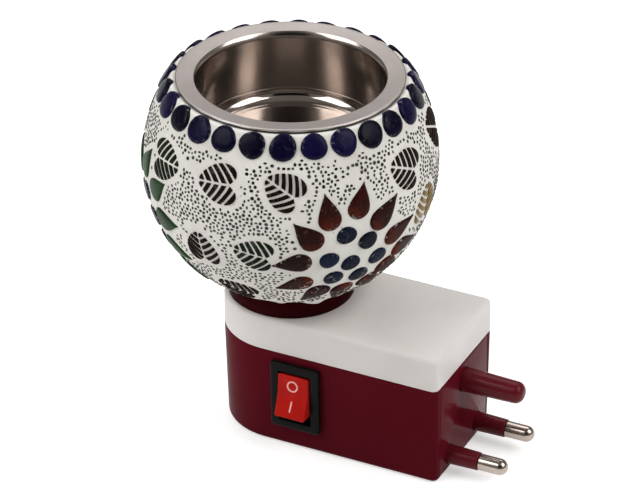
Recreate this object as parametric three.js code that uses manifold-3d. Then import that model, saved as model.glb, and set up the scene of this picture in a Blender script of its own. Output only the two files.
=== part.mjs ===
// Plug-in electric camphor burner: a mosaic glass globe on a plug base, with a steel cup over a small lamp.
// Millimetres, +Z up. The origin is on the globe's axis, on the underside of the base.
// +X is the way that the pins go into the wall socket, and -Y is the front, with the switch.
import * as THREE from "three";
import { mergeVertices } from "three/addons/utils/BufferGeometryUtils.js";
import Module from "manifold-3d";

const wasm = await Module();
wasm.setup();

// Fits
const seatGap = 0.3; // between two pieces that are held together
const runGap = 0.3; // round a piece that turns or slides
const pinGap = 0.15; // round the pins, in the pin plate

// Base
const baseDepth = 38.6; // front to back, at the seam
const plugReach = 54.6; // from the globe's axis to the plug face
const caseHeight = 31;
const caseDraft = 1; // how far the sides draw in at the foot
const caseWall = 2;
const caseFloor = 1.6;
const footRound = 1.5;
const cornerRound = 2;
const lidHeight = 10.3;
const lidWall = 2;
const lidTop = 2;
const lidRound = 1.4;
const lipWall = 1.3; // the lid's lip, inside the case
const lipDepth = 2; // how far the lip goes down into the case
const lipRoot = 3; // how far up the lid's wall the lip starts

// Screws, all of one head and shank
const screwHead = 2.2; // radius
const screwHeadHeight = 1.6;
const screwShank = 1.1; // radius
const screwGrip = 8; // how far a case screw goes into the lid
const recessWall = 0.9; // round the head of a case screw
const lidBoss = 2.5; // radius
const caseBossTop = 14;
const caseScrewSeat = 5; // height of the seat under a case screw's head
const caseScrewReach = 31; // from the globe's axis to the two screws near the pins

// Pins and their plate
const plateThickness = 3.2;
const plateFoot = 1.2; // height of the plate's lower edge
const plateSide = 2; // case wall beside the plate, at the foot
const tongueDepth = 0.9;
const tongueThickness = 1.6;
const grooveLip = 1.4; // case wall behind the tongue
const pinSpacing = 19;
const pinHeight = 5.2;
const pinRadius = 2.4;
const pinLength = 18;
const pinTip = 8.4; // length of bare metal
const pinCore = 1.5; // radius inside the sleeve
const pinTail = 5; // behind the retainer
const sleeveFoot = 2.85; // radius at the plate
const sleeveEnd = 2.65; // radius at the bare metal
const earthRise = 19.7; // above the two pins
const earthLength = 18.5;
const earthFoot = 3.6; // radius at the plate
const earthEnd = 3.2; // radius near the tip
const flangeWidth = 1.4; // flanges of the sleeves and the earth pin, behind the plate
const flangeThickness = 1.4;
const pinHeadThickness = 1.2;
const retainerThickness = 2;
const retainerMargin = 3.6; // round the outer pins
const retainerBoss = 2.4; // radius

// Rocker switch
const switchReach = 11; // from the globe's axis
const switchDrop = 13; // from the seam to the middle of the switch
const bezelWidth = 15.2;
const bezelHeight = 21.6;
const bezelRise = 2;
const bezelEdge = 0.5;
const bezelCorner = 1.2;
const bezelLip = 1.1; // how far the bezel covers the case round its cut-out
const housingDepth = 14.6;
const housingBack = 1.6;
const housingSide = 1.5;
const wingRise = 0.8;
const wingLength = 4;
const rockerThrow = 28; // degrees, from off to on
const rockerVee = 8; // degrees, each half of the face leans out
const rockerHalf = 6.6; // each half of the face
const rockerRise = 6; // from the pivot to the middle of the face
const rockerPivot = 2.5; // depth of the pivot behind the case's face
const trunnionRadius = 1.2;
const trunnionLength = 1.2;
const stemLength = 4.4;
const stemHalf = 1.9;
const boreDepth = 3.4; // of the spring's bore, beyond the pivot
const plungerReach = 7.2; // from the pivot to the plunger's tip
const plungerRadius = 1;
const springWire = 0.2; // radius
const springCurls = 4;
const leverThrow = 20; // degrees
const leverHalf = 5.2;
const leverWidth = 3.2;
const leverThickness = 0.8;
const tabWidth = 4.8;
const tabThickness = 0.8;
const tabReach = 7; // behind the housing
const tabRise = 5; // of the lamp terminal, above the common one

// Collar, globe and cup
const collarInset = 1.2; // how far the collar's foot stands inside the edge of the base
const collarFlare = 1.1; // how much wider it is at the top
const collarHeight = 6.6;
const spigotWall = 1.8;
const spigotHeight = 3;
const globeRadius = 41.6; // over the plaster
const globeOver = 0.8; // how far the plaster's lower edge stands out over the collar
const globeMouth = 33.5; // radius of the plaster's upper edge
const plasterThickness = 1.3;
const glassThickness = 3.3;
const bowlHole = 13; // radius of the hole in the foot of the glass
const cupFlange = 32.2; // radius
const cupSheet = 0.7;
const cupDepth = 21;
const cupTaper = 0.9; // how much the wall draws in
const cupLipRound = 1.6;
const cupFootRound = 3.4;
const cupStep = 0.4; // ledge at the foot of the wall
const cupGap = 0.4; // between the cup and the mouth of the glass

// Mosaic
const tileRise = 0.7;
const tileSink = 0.9;
const gemCount = 26;
const gemTurn = 2; // degrees, of the first gem
const gemWidth = 7.3;
const gemHeight = 7.9;
const gemRise = 1.1;
const gemOver = 0.8; // how far the gems stand up over the edge of the plaster
const flowerSpots = [ // degrees round the globe, latitude and turn of the first petal
  [-38, -18, 26],
  [78, -18, 10],
  [-144, -20, -12],
];
const dotRing = 8.1;
const dotTurn = -6; // degrees, of the first dot beyond the first petal
const dotRadius = 2.9;
const petalRing = 17.8; // from the flower's middle to a petal's middle
const petalLength = 11.6;
const petalWidth = 6.9;
// How far each dot and petal is set off its even place by hand: degrees, and outwards.
const dotPlay = [[-2, 1.8], [7, -1.2], [-4, 0.1], [1, 0.4], [5, 0.3], [1, -0.6]];
const petalPlay = [
  [0, 1.6],
  [0, 1.5],
  [-2, -1.5],
  [-10, -1.8],
  [-9, 2],
  [-2, 0],
  [3, 0.5],
  [3, -0.4],
  [6, 0.4],
  [7, 0.7],
  [1, -0.4],
  [-1, 0],
];
const middlePlay = [119, 2.4]; // of the dot in the middle
const leafLength = 11.6;
const leafWidth = 11.6;
// Degrees round the globe, latitude and turn of each leaf, set by hand between the flowers.
const leafSpots = [
  [-122, 14, -85],
  [-94, 15, 95],
  [-67, 16, 57],
  [-13, 14, 62],
  [18, 17, 60],
  [46, 16, -70],
  [103, 16, 70],
  [130, 15, 100],
  [158, 16, 60],
  [190, 15, 80],
  [-102, -16, 5],
  [-79, -13, 79],
  [-2, -7, -5],
  [26, -14, 100],
  [120, -12, 20],
  [146, -10, 90],
  [172, -13, -20],
  [-92, -40, 60],
  [12, -42, 90],
  [134, -42, 90],
  [163, -42, 90],
];

// Lamp and its holder
const lampBossLength = 3;
const lampPlate = 10.2; // radius
const lampPlateThickness = 4;
const earRadius = 3.2;
const capRadius = 6.9;
const capWall = 0.5;
const capHeight = 16;
const threadPitch = 3;
const threadDepth = 0.3;
const threadTurns = 4;
const shellWall = 0.5;
const shellFlange = 8.5; // radius
const shellRoom = 1.2; // round the shell, in the lid
const stripThickness = 0.5;
const stripWidth = 3;
const tipHeight = 0.8;
const tipRadius = 2;
const insulatorHeight = 2.2;
const bulbRadius = 11;
const bulbWall = 0.7;
const neckDepth = 5; // how far the bulb's neck goes into its cap
const bulbRoom = 3; // between the bulb and the cup
const stemHeight = 14;
const stemTop = 1.6; // radius
const filamentRadius = 0.3;
const legLength = 3; // of the holder's legs, below the plate
const legWidth = 1.6;
const legThickness = 0.8;
const legTurn = 135; // degrees round the axis, of the shell's leg

// Wires
const wireRadius = 1;
const wireBend = 3; // straight run before a wire bends
const wireRoom = 1.6; // between a wire and the bosses and walls beside it

// Sides of round pieces
const globeSides = 36;
const turnedSides = 16;
const smallSides = 12;
const wireSides = 8;
const screwSides = 10;

// Heights, worked out from the sizes
const seamHeight = caseHeight;
const lidUnder = caseHeight + lidHeight - lidTop;
const baseHeight = caseHeight + lidHeight;
const switchHeight = caseHeight - switchDrop;
const collarFoot = baseDepth / 2 - collarInset;
const collarTop = collarFoot + collarFlare;
const globeFoot = collarTop + globeOver;
const globeBottom = baseHeight + collarHeight;
const globeMiddle = globeBottom + Math.sqrt(globeRadius ** 2 - globeFoot ** 2);
const globeTop = globeMiddle + Math.sqrt(globeRadius ** 2 - globeMouth ** 2);
const mouthLatitude = Math.acos(globeMouth / globeRadius);
const gemLatitude = THREE.MathUtils.radToDeg(mouthLatitude - (gemHeight / 2 - gemOver) / globeRadius);
const plasterInner = globeRadius - plasterThickness;
const glassOuter = plasterInner - seatGap;
const glassInner = glassOuter - glassThickness;
const glassMouth = Math.sqrt(glassInner ** 2 - (globeTop - globeMiddle) ** 2);
const cupOuter = glassMouth - cupGap;
const cupTop = globeTop + runGap + cupSheet;
const cupFloor = cupTop - cupDepth;
const cupUnder = cupFloor - cupSheet;
const plateTop = lidUnder - lampBossLength;
const plateUnder = plateTop - lampPlateThickness;
const stripTop = plateTop + stripThickness;
const tipFoot = stripTop + seatGap;
const insulatorFoot = tipFoot + tipHeight + seatGap;
const capFoot = insulatorFoot + insulatorHeight + seatGap;
const capTop = capFoot + capHeight;
const bulbTop = cupUnder - bulbRoom;
const shellInner = capRadius + threadDepth + seatGap;
const shellOuter = shellInner + shellWall;

// Places along the plug end, from the pin plate inwards
const plateBack = plugReach - plateThickness;
const frameBack = plateBack - grooveLip;
const flangeFront = plateBack - seatGap;
const flangeBack = flangeFront - flangeThickness;
const pinHeadBack = flangeBack - seatGap - pinHeadThickness;
const retainerFront = pinHeadBack - seatGap;
const retainerBack = retainerFront - retainerThickness;
const tailBack = retainerBack - pinTail;
const plateHalf = baseDepth / 2 - caseDraft - plateSide;
const earthHeight = pinHeight + earthRise;
const pinSides = [-pinSpacing / 2, pinSpacing / 2];

// Places of the screws
const caseBoss = screwHead + runGap + recessWall;
const caseScrewSide = baseDepth / 2 - caseDraft - caseWall - seatGap - lidBoss;
const caseScrewBack = lampPlate + seatGap + lidBoss;
const caseScrewSpots = [
  [caseScrewReach, -caseScrewSide],
  [caseScrewReach, caseScrewSide],
  [-caseScrewBack, 0],
];
const collarBore = bowlHole - seatGap - spigotWall;
const collarScrewRing = (collarBore + collarFoot) / 2;
const collarScrewTurns = [0, 120, 240];
const collarScrewGrip = collarHeight - lidTop;
const earOffset = shellFlange + seatGap + lidBoss;
const earSpots = [
  [0, -earOffset],
  [0, earOffset],
];
const lampScrewGrip = lampBossLength;
const retainerScrewHeight = pinHeight + earthRise / 2;

// Lanes of the wires, from front to back: inside the screw bosses, and along the wall
const innerLane = caseScrewSide - caseBoss - wireRoom - wireRadius;
const outerLane = baseDepth / 2 - caseDraft - caseWall - seatGap - lipWall - wireRoom - wireRadius;

// Places in the switch, from the case's face inwards
const housingWidth = bezelWidth - 2 * bezelLip;
const housingHeight = bezelHeight - 2 * bezelLip;
const pocketHalf = housingWidth / 2 - housingSide;
const rockerWidth = 2 * (pocketHalf - runGap);
const rockerEnd = rockerHalf * Math.cos(THREE.MathUtils.degToRad(rockerVee));
const rockerTip = rockerRise + rockerHalf * Math.sin(THREE.MathUtils.degToRad(rockerVee));
const pocketHeight = Math.hypot(rockerEnd, rockerTip)
  * Math.sin(Math.atan2(rockerEnd, rockerTip) + THREE.MathUtils.degToRad(rockerThrow / 2)) + runGap;
const leverDepth = rockerPivot + plungerReach + seatGap + leverThickness / 2;
const tabFront = leverDepth + leverThickness / 2 + seatGap;
const tabDrop = tabRise * Math.tan(THREE.MathUtils.degToRad(leverThrow / 2));
const tabBack = housingDepth + tabReach;
const wallLean = Math.atan2(caseDraft, caseHeight);
const switchFace = -(baseDepth / 2 - caseDraft * (1 - switchHeight / caseHeight));

const maroon = { color: 0x4a131b, roughness: 0.28, metalness: 0 };
const white = { color: 0xe4e1dc, roughness: 0.35, metalness: 0 };
const black = { color: 0x121413, roughness: 0.4, metalness: 0 };
const red = { color: 0xa81e19, roughness: 0.3, metalness: 0 };
const nickel = { color: 0xbeb4aa, roughness: 0.25, metalness: 1 };
const steel = { color: 0xa59d9d, roughness: 0.2, metalness: 1 };
const brass = { color: 0xb08d4a, roughness: 0.35, metalness: 1 };
const plaster = { color: 0xe1dfd8, roughness: 0.7, metalness: 0 };
const clearGlass = { color: 0xd8e2df, roughness: 0.05, metalness: 0 };
const brownResin = { color: 0x2a1a14, roughness: 0.5, metalness: 0 };

// A closed geometry as a solid that can be joined and cut.
function solidOf(geometry) {
  const bare = geometry.clone();
  bare.deleteAttribute("normal");
  bare.deleteAttribute("uv");
  const merged = mergeVertices(bare, 1e-4);
  const corners = merged.index.array;
  const faces = [];
  for (let i = 0; i < corners.length; i += 3) {
    const [a, b, c] = corners.slice(i, i + 3);
    if (a !== b && b !== c && c !== a) {
      faces.push(a, b, c);
    }
  }
  return new wasm.Manifold(new wasm.Mesh({
    numProp: 3,
    vertProperties: new Float32Array(merged.attributes.position.array),
    triVerts: new Uint32Array(faces),
  }));
}

function geometryOf(solid) {
  const mesh = solid.getMesh();
  const geometry = new THREE.BufferGeometry();
  geometry.setAttribute("position", new THREE.BufferAttribute(new Float32Array(mesh.vertProperties), 3));
  geometry.setIndex(new THREE.BufferAttribute(new Uint32Array(mesh.triVerts), 1));
  return geometry;
}

function join(body, ...others) {
  return geometryOf(others.reduce((sum, other) => sum.add(solidOf(other)), solidOf(body)));
}

function cut(body, ...tools) {
  return geometryOf(tools.reduce((rest, tool) => rest.subtract(solidOf(tool)), solidOf(body)));
}

function block(x0, x1, y0, y1, z0, z1) {
  const geometry = new THREE.BoxGeometry(x1 - x0, y1 - y0, z1 - z0);
  return geometry.translate((x0 + x1) / 2, (y0 + y1) / 2, (z0 + z1) / 2);
}

// A round bar along Z, from z0 to z1.
function rod(x, y, radius, z0, z1, sides = smallSides) {
  const geometry = new THREE.CylinderGeometry(radius, radius, z1 - z0, sides);
  return geometry.rotateX(Math.PI / 2).translate(x, y, (z0 + z1) / 2);
}

// A turned piece about Z. The profile, [radius, height], runs up its outside.
function turned(profile, sides = turnedSides) {
  const points = profile.map(([radius, height]) => new THREE.Vector2(radius, height));
  return new THREE.LatheGeometry(points, sides).rotateX(Math.PI / 2);
}

// A turned ring: the same, with its profile closed on itself.
function ring(profile, sides = turnedSides) {
  return turned([...profile, profile[0]], sides);
}

function arc(x, y, radius, from, to, steps) {
  return Array.from({ length: steps + 1 }, (_, i) => {
    const angle = THREE.MathUtils.degToRad(from + ((to - from) * i) / steps);
    return [x + radius * Math.cos(angle), y + radius * Math.sin(angle)];
  });
}

// A closed body through a pile of outlines with as many points each, from the lowest up.
function pile(levels) {
  const count = levels[0].plan.length;
  const points = levels.flatMap(({ plan, z }) => plan.flatMap(([x, y]) => [x, y, z]));
  const faces = [];
  for (let level = 0; level + 1 < levels.length; level += 1) {
    for (let i = 0; i < count; i += 1) {
      const a = level * count + i;
      const b = level * count + ((i + 1) % count);
      faces.push(a, b, b + count, a, b + count, a + count);
    }
  }
  const corners = (plan) => plan.map(([x, y]) => new THREE.Vector2(x, y));
  const capOf = (plan) => THREE.ShapeUtils.triangulateShape(corners(plan), []);
  const last = (levels.length - 1) * count;
  capOf(levels[0].plan).forEach(([a, b, c]) => faces.push(a, c, b));
  capOf(levels.at(-1).plan).forEach(([a, b, c]) => faces.push(last + a, last + b, last + c));
  const geometry = new THREE.BufferGeometry();
  geometry.setAttribute("position", new THREE.Float32BufferAttribute(points, 3));
  geometry.setIndex(faces);
  return geometry;
}

// A flat piece with its outline in Y and Z, between x0 and x1.
function slab(outline, x0, x1) {
  const shape = new THREE.Shape(outline.map(([y, z]) => new THREE.Vector2(y, z)));
  const geometry = new THREE.ExtrudeGeometry(shape, { depth: x1 - x0, bevelEnabled: false });
  const toSide = new THREE.Matrix4().makeBasis(
    new THREE.Vector3(0, 1, 0),
    new THREE.Vector3(0, 0, 1),
    new THREE.Vector3(1, 0, 0),
  );
  return geometry.translate(0, 0, x0).applyMatrix4(toSide);
}

// A round tube along a smooth line through the points.
function tube(points, radius, sides, steps) {
  const path = new THREE.CatmullRomCurve3(points.map((point) => new THREE.Vector3(...point)));
  const section = new THREE.Shape(arc(0, 0, radius, 0, 360 - 360 / sides, sides - 1)
    .map(([x, y]) => new THREE.Vector2(x, y)));
  return new THREE.ExtrudeGeometry(section, { steps, extrudePath: path, bevelEnabled: false });
}

function alongX(geometry) {
  return geometry.rotateY(Math.PI / 2);
}

// The plan of the base, drawn in by inset: half round about the globe's axis, then straight to the plug end.
function basePlan(inset, reach, corner) {
  const half = baseDepth / 2 - inset;
  const round = Math.max(corner, 0.3);
  return [
    ...arc(reach - round, round - half, round, -90, 0, 3),
    ...arc(reach - round, half - round, round, 0, 90, 3),
    ...arc(0, 0, half, 90, 270, 18),
  ];
}

function draftAt(z) {
  return caseDraft * (1 - z / caseHeight);
}

function caseLevel(z, inset, reach) {
  return { plan: basePlan(draftAt(z) + inset, reach, cornerRound - inset), z };
}

// Where the switch sits on the leaning front wall.
function switchPlace() {
  const place = new THREE.Group();
  place.position.set(switchReach, switchFace, switchHeight);
  place.rotation.x = wallLean;
  place.updateMatrix();
  return place;
}

function baseCase() {
  const foot = arc(0, 0, footRound, 0, 90, 3).map(([x, y]) => caseLevel(
    footRound - x,
    footRound - y,
    plugReach - footRound + y,
  ));
  const outer = pile([...foot, caseLevel(caseHeight, 0, plugReach)]);
  const over = caseHeight + 1;
  const hollow = pile([caseLevel(caseFloor, caseWall, frameBack), caseLevel(over, caseWall, frameBack)]);
  const tongueHalf = plateHalf + tongueDepth;
  const window = block(frameBack - 1, plugReach + 1, -plateHalf, plateHalf, plateFoot, over);
  const groove = block(plateBack, plateBack + tongueThickness, -tongueHalf, tongueHalf, plateFoot, over);
  const opening = block(
    -housingWidth / 2 - seatGap,
    housingWidth / 2 + seatGap,
    -1,
    2 * caseWall,
    -housingHeight / 2 - seatGap,
    housingHeight / 2 + seatGap,
  ).applyMatrix4(switchPlace().matrix);
  const bosses = caseScrewSpots.map(([x, y]) => rod(x, y, caseBoss, caseFloor / 2, caseBossTop));
  const holes = caseScrewSpots.flatMap(([x, y]) => [
    rod(x, y, screwHead + runGap, -1, caseScrewSeat),
    rod(x, y, screwShank + seatGap, -1, caseBossTop + 1),
  ]);
  const shell = cut(outer, hollow);
  return cut(join(shell, ...bosses), window, groove, opening, ...holes);
}

function lid() {
  const level = (z, inset) => ({ plan: basePlan(inset, plugReach - inset, cornerRound - inset), z });
  const edge = arc(0, 0, lidRound, 0, 90, 3).map(([x, y]) => level(baseHeight - lidRound + y, lidRound - x));
  const outer = pile([level(seamHeight, 0), ...edge]);
  const lipInset = caseWall + seatGap;
  const lipReach = retainerBack - screwHeadHeight - 2 * seatGap;
  const lipLevel = (z, inset) => ({ plan: basePlan(inset, lipReach - inset + lipInset, cornerRound), z });
  const lipTop = seamHeight + lipRoot;
  const hollow = pile([level(seamHeight - 1, lidWall), level(lidUnder, lidWall)]);
  const lipBody = pile([lipLevel(seamHeight - lipDepth, lipInset), lipLevel(seamHeight, lipInset)]);
  const lipRootBody = pile([lipLevel(seamHeight, lidWall / 2), lipLevel(lipTop, lidWall / 2)]);
  const lipHollow = pile([
    lipLevel(seamHeight - lipDepth - 1, lipInset + lipWall),
    lipLevel(lipTop + 1, lipInset + lipWall),
  ]);
  const earRoom = earSpots.map(([x, y]) => rod(x, y, earRadius + seatGap, plateUnder - seatGap, plateTop));
  const lip = cut(join(lipBody, lipRootBody), lipHollow, ...earRoom);
  const bosses = [
    ...caseScrewSpots.map(([x, y]) => rod(x, y, lidBoss, caseBossTop + seatGap, baseHeight - lidTop / 2)),
    ...earSpots.map(([x, y]) => rod(x, y, lidBoss, plateTop, baseHeight - lidTop / 2)),
  ];
  const holes = [
    rod(0, 0, shellOuter + shellRoom, plateTop, baseHeight + 1, turnedSides),
    ...caseScrewSpots.map(([x, y]) => rod(x, y, screwShank + seatGap, 0, caseBossTop + screwGrip + 1)),
    ...earSpots.map(([x, y]) => rod(x, y, screwShank + seatGap, 0, plateTop + lampScrewGrip + 1)),
    ...collarScrewTurns.map((turn) => {
      const [x, y] = arc(0, 0, collarScrewRing, turn, turn, 1)[0];
      return rod(x, y, screwShank + seatGap, lidUnder - 1, baseHeight + 1);
    }),
  ];
  return cut(join(cut(outer, hollow), lip, ...bosses), ...holes);
}

function pinPlate() {
  const top = caseHeight - seatGap;
  const foot = plateFoot + seatGap;
  const half = plateHalf - seatGap;
  const tongueHalf = plateHalf + tongueDepth - seatGap;
  const face = block(plateBack, plugReach, -half, half, foot, top);
  const tongue = block(
    plateBack + seatGap / 2,
    plateBack + tongueThickness - seatGap / 2,
    -tongueHalf,
    tongueHalf,
    foot,
    top,
  );
  const onX = (y, z, radius, x0, x1) => alongX(rod(0, 0, radius, x0, x1)).translate(0, y, z);
  const bosses = pinSides.map((y) => onX(y, retainerScrewHeight, retainerBoss, retainerFront, plateBack + 1));
  const holes = [
    ...pinSides.map((y) => onX(y, pinHeight, sleeveFoot + pinGap, plateBack - 1, plugReach + 1)),
    onX(0, earthHeight, earthFoot + pinGap, plateBack - 1, plugReach + 1),
    ...pinSides.map((y) => onX(y, retainerScrewHeight, screwShank + seatGap, retainerFront - 1, plateBack)),
  ];
  return cut(join(face, tongue, ...bosses), ...holes);
}

// A bare metal tip with a core through its sleeve, a head behind it and a tail for its wire.
function pin(y) {
  const tipFoot = plugReach + pinLength - pinTip;
  const tipEnd = plugReach + pinLength;
  const profile = [
    [0, tailBack],
    [pinCore, tailBack],
    [pinCore, pinHeadBack],
    [pinRadius, pinHeadBack],
    [pinRadius, pinHeadBack + pinHeadThickness],
    [pinCore, pinHeadBack + pinHeadThickness],
    [pinCore, tipFoot],
    [pinRadius, tipFoot],
    ...arc(0, tipEnd - pinRadius, pinRadius, 0, 90, 4),
  ];
  profile[profile.length - 1][0] = 0;
  return alongX(turned(profile, smallSides)).translate(0, y, pinHeight);
}

// A sleeve with a flange behind the plate, cut flat above the floor.
function sleeve(y) {
  const bore = pinCore + pinGap;
  const end = plugReach + pinLength - pinTip - pinGap;
  const profile = [
    [bore, flangeBack],
    [sleeveFoot + flangeWidth, flangeBack],
    [sleeveFoot + flangeWidth, flangeFront],
    [sleeveFoot, flangeFront],
    [sleeveFoot, plugReach],
    [sleeveEnd, end],
    [bore, end],
  ];
  const body = alongX(ring(profile, smallSides)).translate(0, y, pinHeight);
  const reach = sleeveFoot + flangeWidth;
  return cut(body, block(flangeBack - 1, flangeFront, y - reach, y + reach, 0, caseFloor + seatGap));
}

function earthPin() {
  const end = plugReach + earthLength;
  const round = earthEnd * 0.8;
  const profile = [
    [0, pinHeadBack],
    [earthFoot + flangeWidth, pinHeadBack],
    [earthFoot + flangeWidth, flangeFront],
    [earthFoot, flangeFront],
    [earthFoot, plugReach],
    ...arc(earthEnd - round, end - round, round, 0, 90, 4),
    [0, end],
  ];
  return alongX(turned(profile, smallSides)).translate(0, 0, earthHeight);
}

function pinRetainer() {
  const half = pinSpacing / 2 + retainerMargin;
  const foot = caseFloor + seatGap;
  const top = earthHeight + retainerMargin;
  const body = block(retainerBack, retainerFront, -half, half, foot, top);
  const bar = (radius) => alongX(rod(0, 0, radius, retainerBack - 1, retainerFront + 1));
  const onX = (y, z, radius) => bar(radius).translate(0, y, z);
  return cut(
    body,
    ...pinSides.map((y) => onX(y, pinHeight, pinCore + pinGap)),
    ...pinSides.map((y) => onX(y, retainerScrewHeight, screwShank + seatGap)),
  );
}

// A screw pointing up, with the underside of its head's seat at height zero and a cross in its head.
function screw(length) {
  const profile = [
    [0, -screwHeadHeight],
    [screwHead * 0.8, -screwHeadHeight],
    [screwHead, -screwHeadHeight * 0.6],
    [screwHead, 0],
    [screwShank, 0],
    [screwShank, length - screwShank],
    [screwShank * 0.3, length],
    [0, length],
  ];
  const slot = screwHead * 0.6;
  const width = screwHead * 0.15;
  const depth = -screwHeadHeight * 0.4;
  return cut(
    turned(profile, screwSides),
    block(-slot, slot, -width, width, -2 * screwHeadHeight, depth),
    block(-width, width, -slot, slot, -2 * screwHeadHeight, depth),
  );
}

// Switch pieces, drawn about the middle of the switch on the case's face: -Y is out of the case.
function switchHousing() {
  const plan = (inset) => {
    const x = bezelWidth / 2 - inset - bezelCorner;
    const y = bezelHeight / 2 - inset - bezelCorner;
    return [
      ...arc(x, -y, bezelCorner, -90, 0, 3),
      ...arc(x, y, bezelCorner, 0, 90, 3),
      ...arc(-x, y, bezelCorner, 90, 180, 3),
      ...arc(-x, -y, bezelCorner, 180, 270, 3),
    ];
  };
  const bezel = pile([
    { plan: plan(0), z: seatGap },
    { plan: plan(0), z: bezelRise - bezelEdge },
    { plan: plan(bezelEdge), z: bezelRise },
  ]).rotateX(Math.PI / 2);
  const halfX = housingWidth / 2;
  const halfZ = housingHeight / 2;
  const body = block(-halfX, halfX, -bezelRise / 2, housingDepth, -halfZ, halfZ);
  const wingFront = caseWall + 2 * seatGap;
  const wing = (side) => slab(
    [
      [wingFront, side * (halfZ - 1)],
      [wingFront, side * (halfZ + wingRise)],
      [wingFront + wingLength, side * halfZ],
      [wingFront + wingLength, side * (halfZ - 1)],
    ],
    -pocketHalf,
    pocketHalf,
  );
  const pocket = block(
    -pocketHalf,
    pocketHalf,
    -bezelRise - 1,
    housingDepth - housingBack,
    -pocketHeight,
    pocketHeight,
  );
  const pivotBar = alongX(rod(0, 0, trunnionRadius + runGap, -halfX - 1, halfX + 1));
  const pivotHole = pivotBar.translate(0, rockerPivot, 0);
  const slots = [0, tabRise].map((z) => block(
    -tabWidth / 2 - pinGap,
    tabWidth / 2 + pinGap,
    housingDepth - housingBack - 1,
    housingDepth + 1,
    z - tabThickness / 2 - pinGap,
    z + tabThickness / 2 + pinGap,
  ));
  return cut(join(bezel, body, wing(1), wing(-1)), pocket, pivotHole, ...slots);
}

// The rocker, about its pivot, level between off and on.
function rocker() {
  const half = rockerWidth / 2;
  const outline = [
    [-rockerTip, rockerEnd],
    [-rockerRise, 0],
    [-rockerTip, -rockerEnd],
    [-trunnionRadius, -0.85 * rockerEnd],
    [trunnionRadius / 2, -stemHalf],
    [stemLength, -stemHalf],
    [stemLength, stemHalf],
    [trunnionRadius / 2, stemHalf],
    [-trunnionRadius, 0.85 * rockerEnd],
  ];
  const trunnions = alongX(rod(0, 0, trunnionRadius, -half - trunnionLength, half + trunnionLength));
  const bore = rod(0, 0, plungerRadius + runGap, -stemLength - 1, boreDepth).rotateX(Math.PI / 2);
  return cut(join(slab(outline, -half, half), trunnions), bore);
}

function plunger() {
  const foot = plungerReach - stemLength - boreDepth / 2;
  const profile = [
    [0, -plungerReach],
    ...arc(0, plungerRadius - plungerReach, plungerRadius, -60, 0, 2),
    [plungerRadius, -foot],
    [0, -foot],
  ];
  return turned(profile, 12).rotateX(Math.PI / 2);
}

// One unbroken coil behind the plunger.
function plungerSpring() {
  const radius = plungerRadius + runGap - seatGap / 2 - springWire;
  const front = boreDepth - seatGap - springWire;
  const back = -(plungerReach - stemLength - boreDepth / 2) + seatGap + springWire;
  const steps = 8 * springCurls;
  const points = Array.from({ length: steps + 1 }, (_, i) => {
    const angle = (2 * Math.PI * i) / 8;
    const depth = front + ((back - front) * i) / steps;
    return [radius * Math.cos(angle), -depth, radius * Math.sin(angle)];
  });
  const pitch = (front - back) / springCurls;
  console.log(`plunger spring: least gap between curls ${(pitch - 2 * springWire).toFixed(2)} mm`);
  return tube(points, springWire, 5, steps);
}

function contactLever() {
  return block(
    -leverWidth / 2,
    leverWidth / 2,
    -leverThickness / 2,
    leverThickness / 2,
    -leverHalf,
    leverHalf,
  );
}

function terminal(front, z) {
  return block(-tabWidth / 2, tabWidth / 2, front, tabBack, z - tabThickness / 2, z + tabThickness / 2);
}

// Collar, globe and cup
function collar() {
  const body = ring([
    [collarBore, baseHeight],
    [collarFoot, baseHeight],
    [collarTop, globeBottom],
    [bowlHole - seatGap, globeBottom],
    [bowlHole - seatGap, globeBottom + spigotHeight],
    [collarBore, globeBottom + spigotHeight],
  ], globeSides);
  const holes = collarScrewTurns.map((turn) => {
    const [x, y] = arc(0, 0, collarScrewRing, turn, turn, 1)[0];
    return rod(x, y, screwShank + seatGap, baseHeight - 1, baseHeight + collarScrewGrip + seatGap);
  });
  return cut(body, ...holes);
}

// Points of a round wall about the globe's middle, from one height to the other.
function globeArc(radius, z0, z1, steps) {
  const angleAt = (z) => THREE.MathUtils.radToDeg(Math.asin((z - globeMiddle) / radius));
  return arc(0, globeMiddle, radius, angleAt(z0), angleAt(z1), steps);
}

function glassBowl() {
  const holeHeight = globeMiddle - Math.sqrt(glassInner ** 2 - bowlHole ** 2);
  return ring([
    [bowlHole, globeBottom],
    ...globeArc(glassOuter, globeBottom, globeTop, 7),
    ...globeArc(glassInner, globeTop, holeHeight, 7),
  ], globeSides);
}

function gemPlan(width, height, sides) {
  return arc(0, 0, 1, 0, 360 - 360 / sides, sides - 1).map(([x, y]) => [(x * width) / 2, (y * height) / 2]);
}

// A drop with its point along +Y.
function petalPlan() {
  return [
    [0, -0.5 * petalLength],
    [0.36 * petalWidth, -0.41 * petalLength],
    [0.5 * petalWidth, -0.2 * petalLength],
    [0.36 * petalWidth, 0.08 * petalLength],
    [0, 0.5 * petalLength],
    [-0.36 * petalWidth, 0.08 * petalLength],
    [-0.5 * petalWidth, -0.2 * petalLength],
    [-0.36 * petalWidth, -0.41 * petalLength],
  ];
}

// A heart with its point along +Y.
function leafPlan() {
  return [
    [0, -0.3 * leafLength],
    [0.25 * leafWidth, -0.5 * leafLength],
    [0.5 * leafWidth, -0.28 * leafLength],
    [0.42 * leafWidth, 0.1 * leafLength],
    [0, 0.5 * leafLength],
    [-0.42 * leafWidth, 0.1 * leafLength],
    [-0.5 * leafWidth, -0.28 * leafLength],
    [-0.25 * leafWidth, -0.5 * leafLength],
  ];
}

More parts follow.
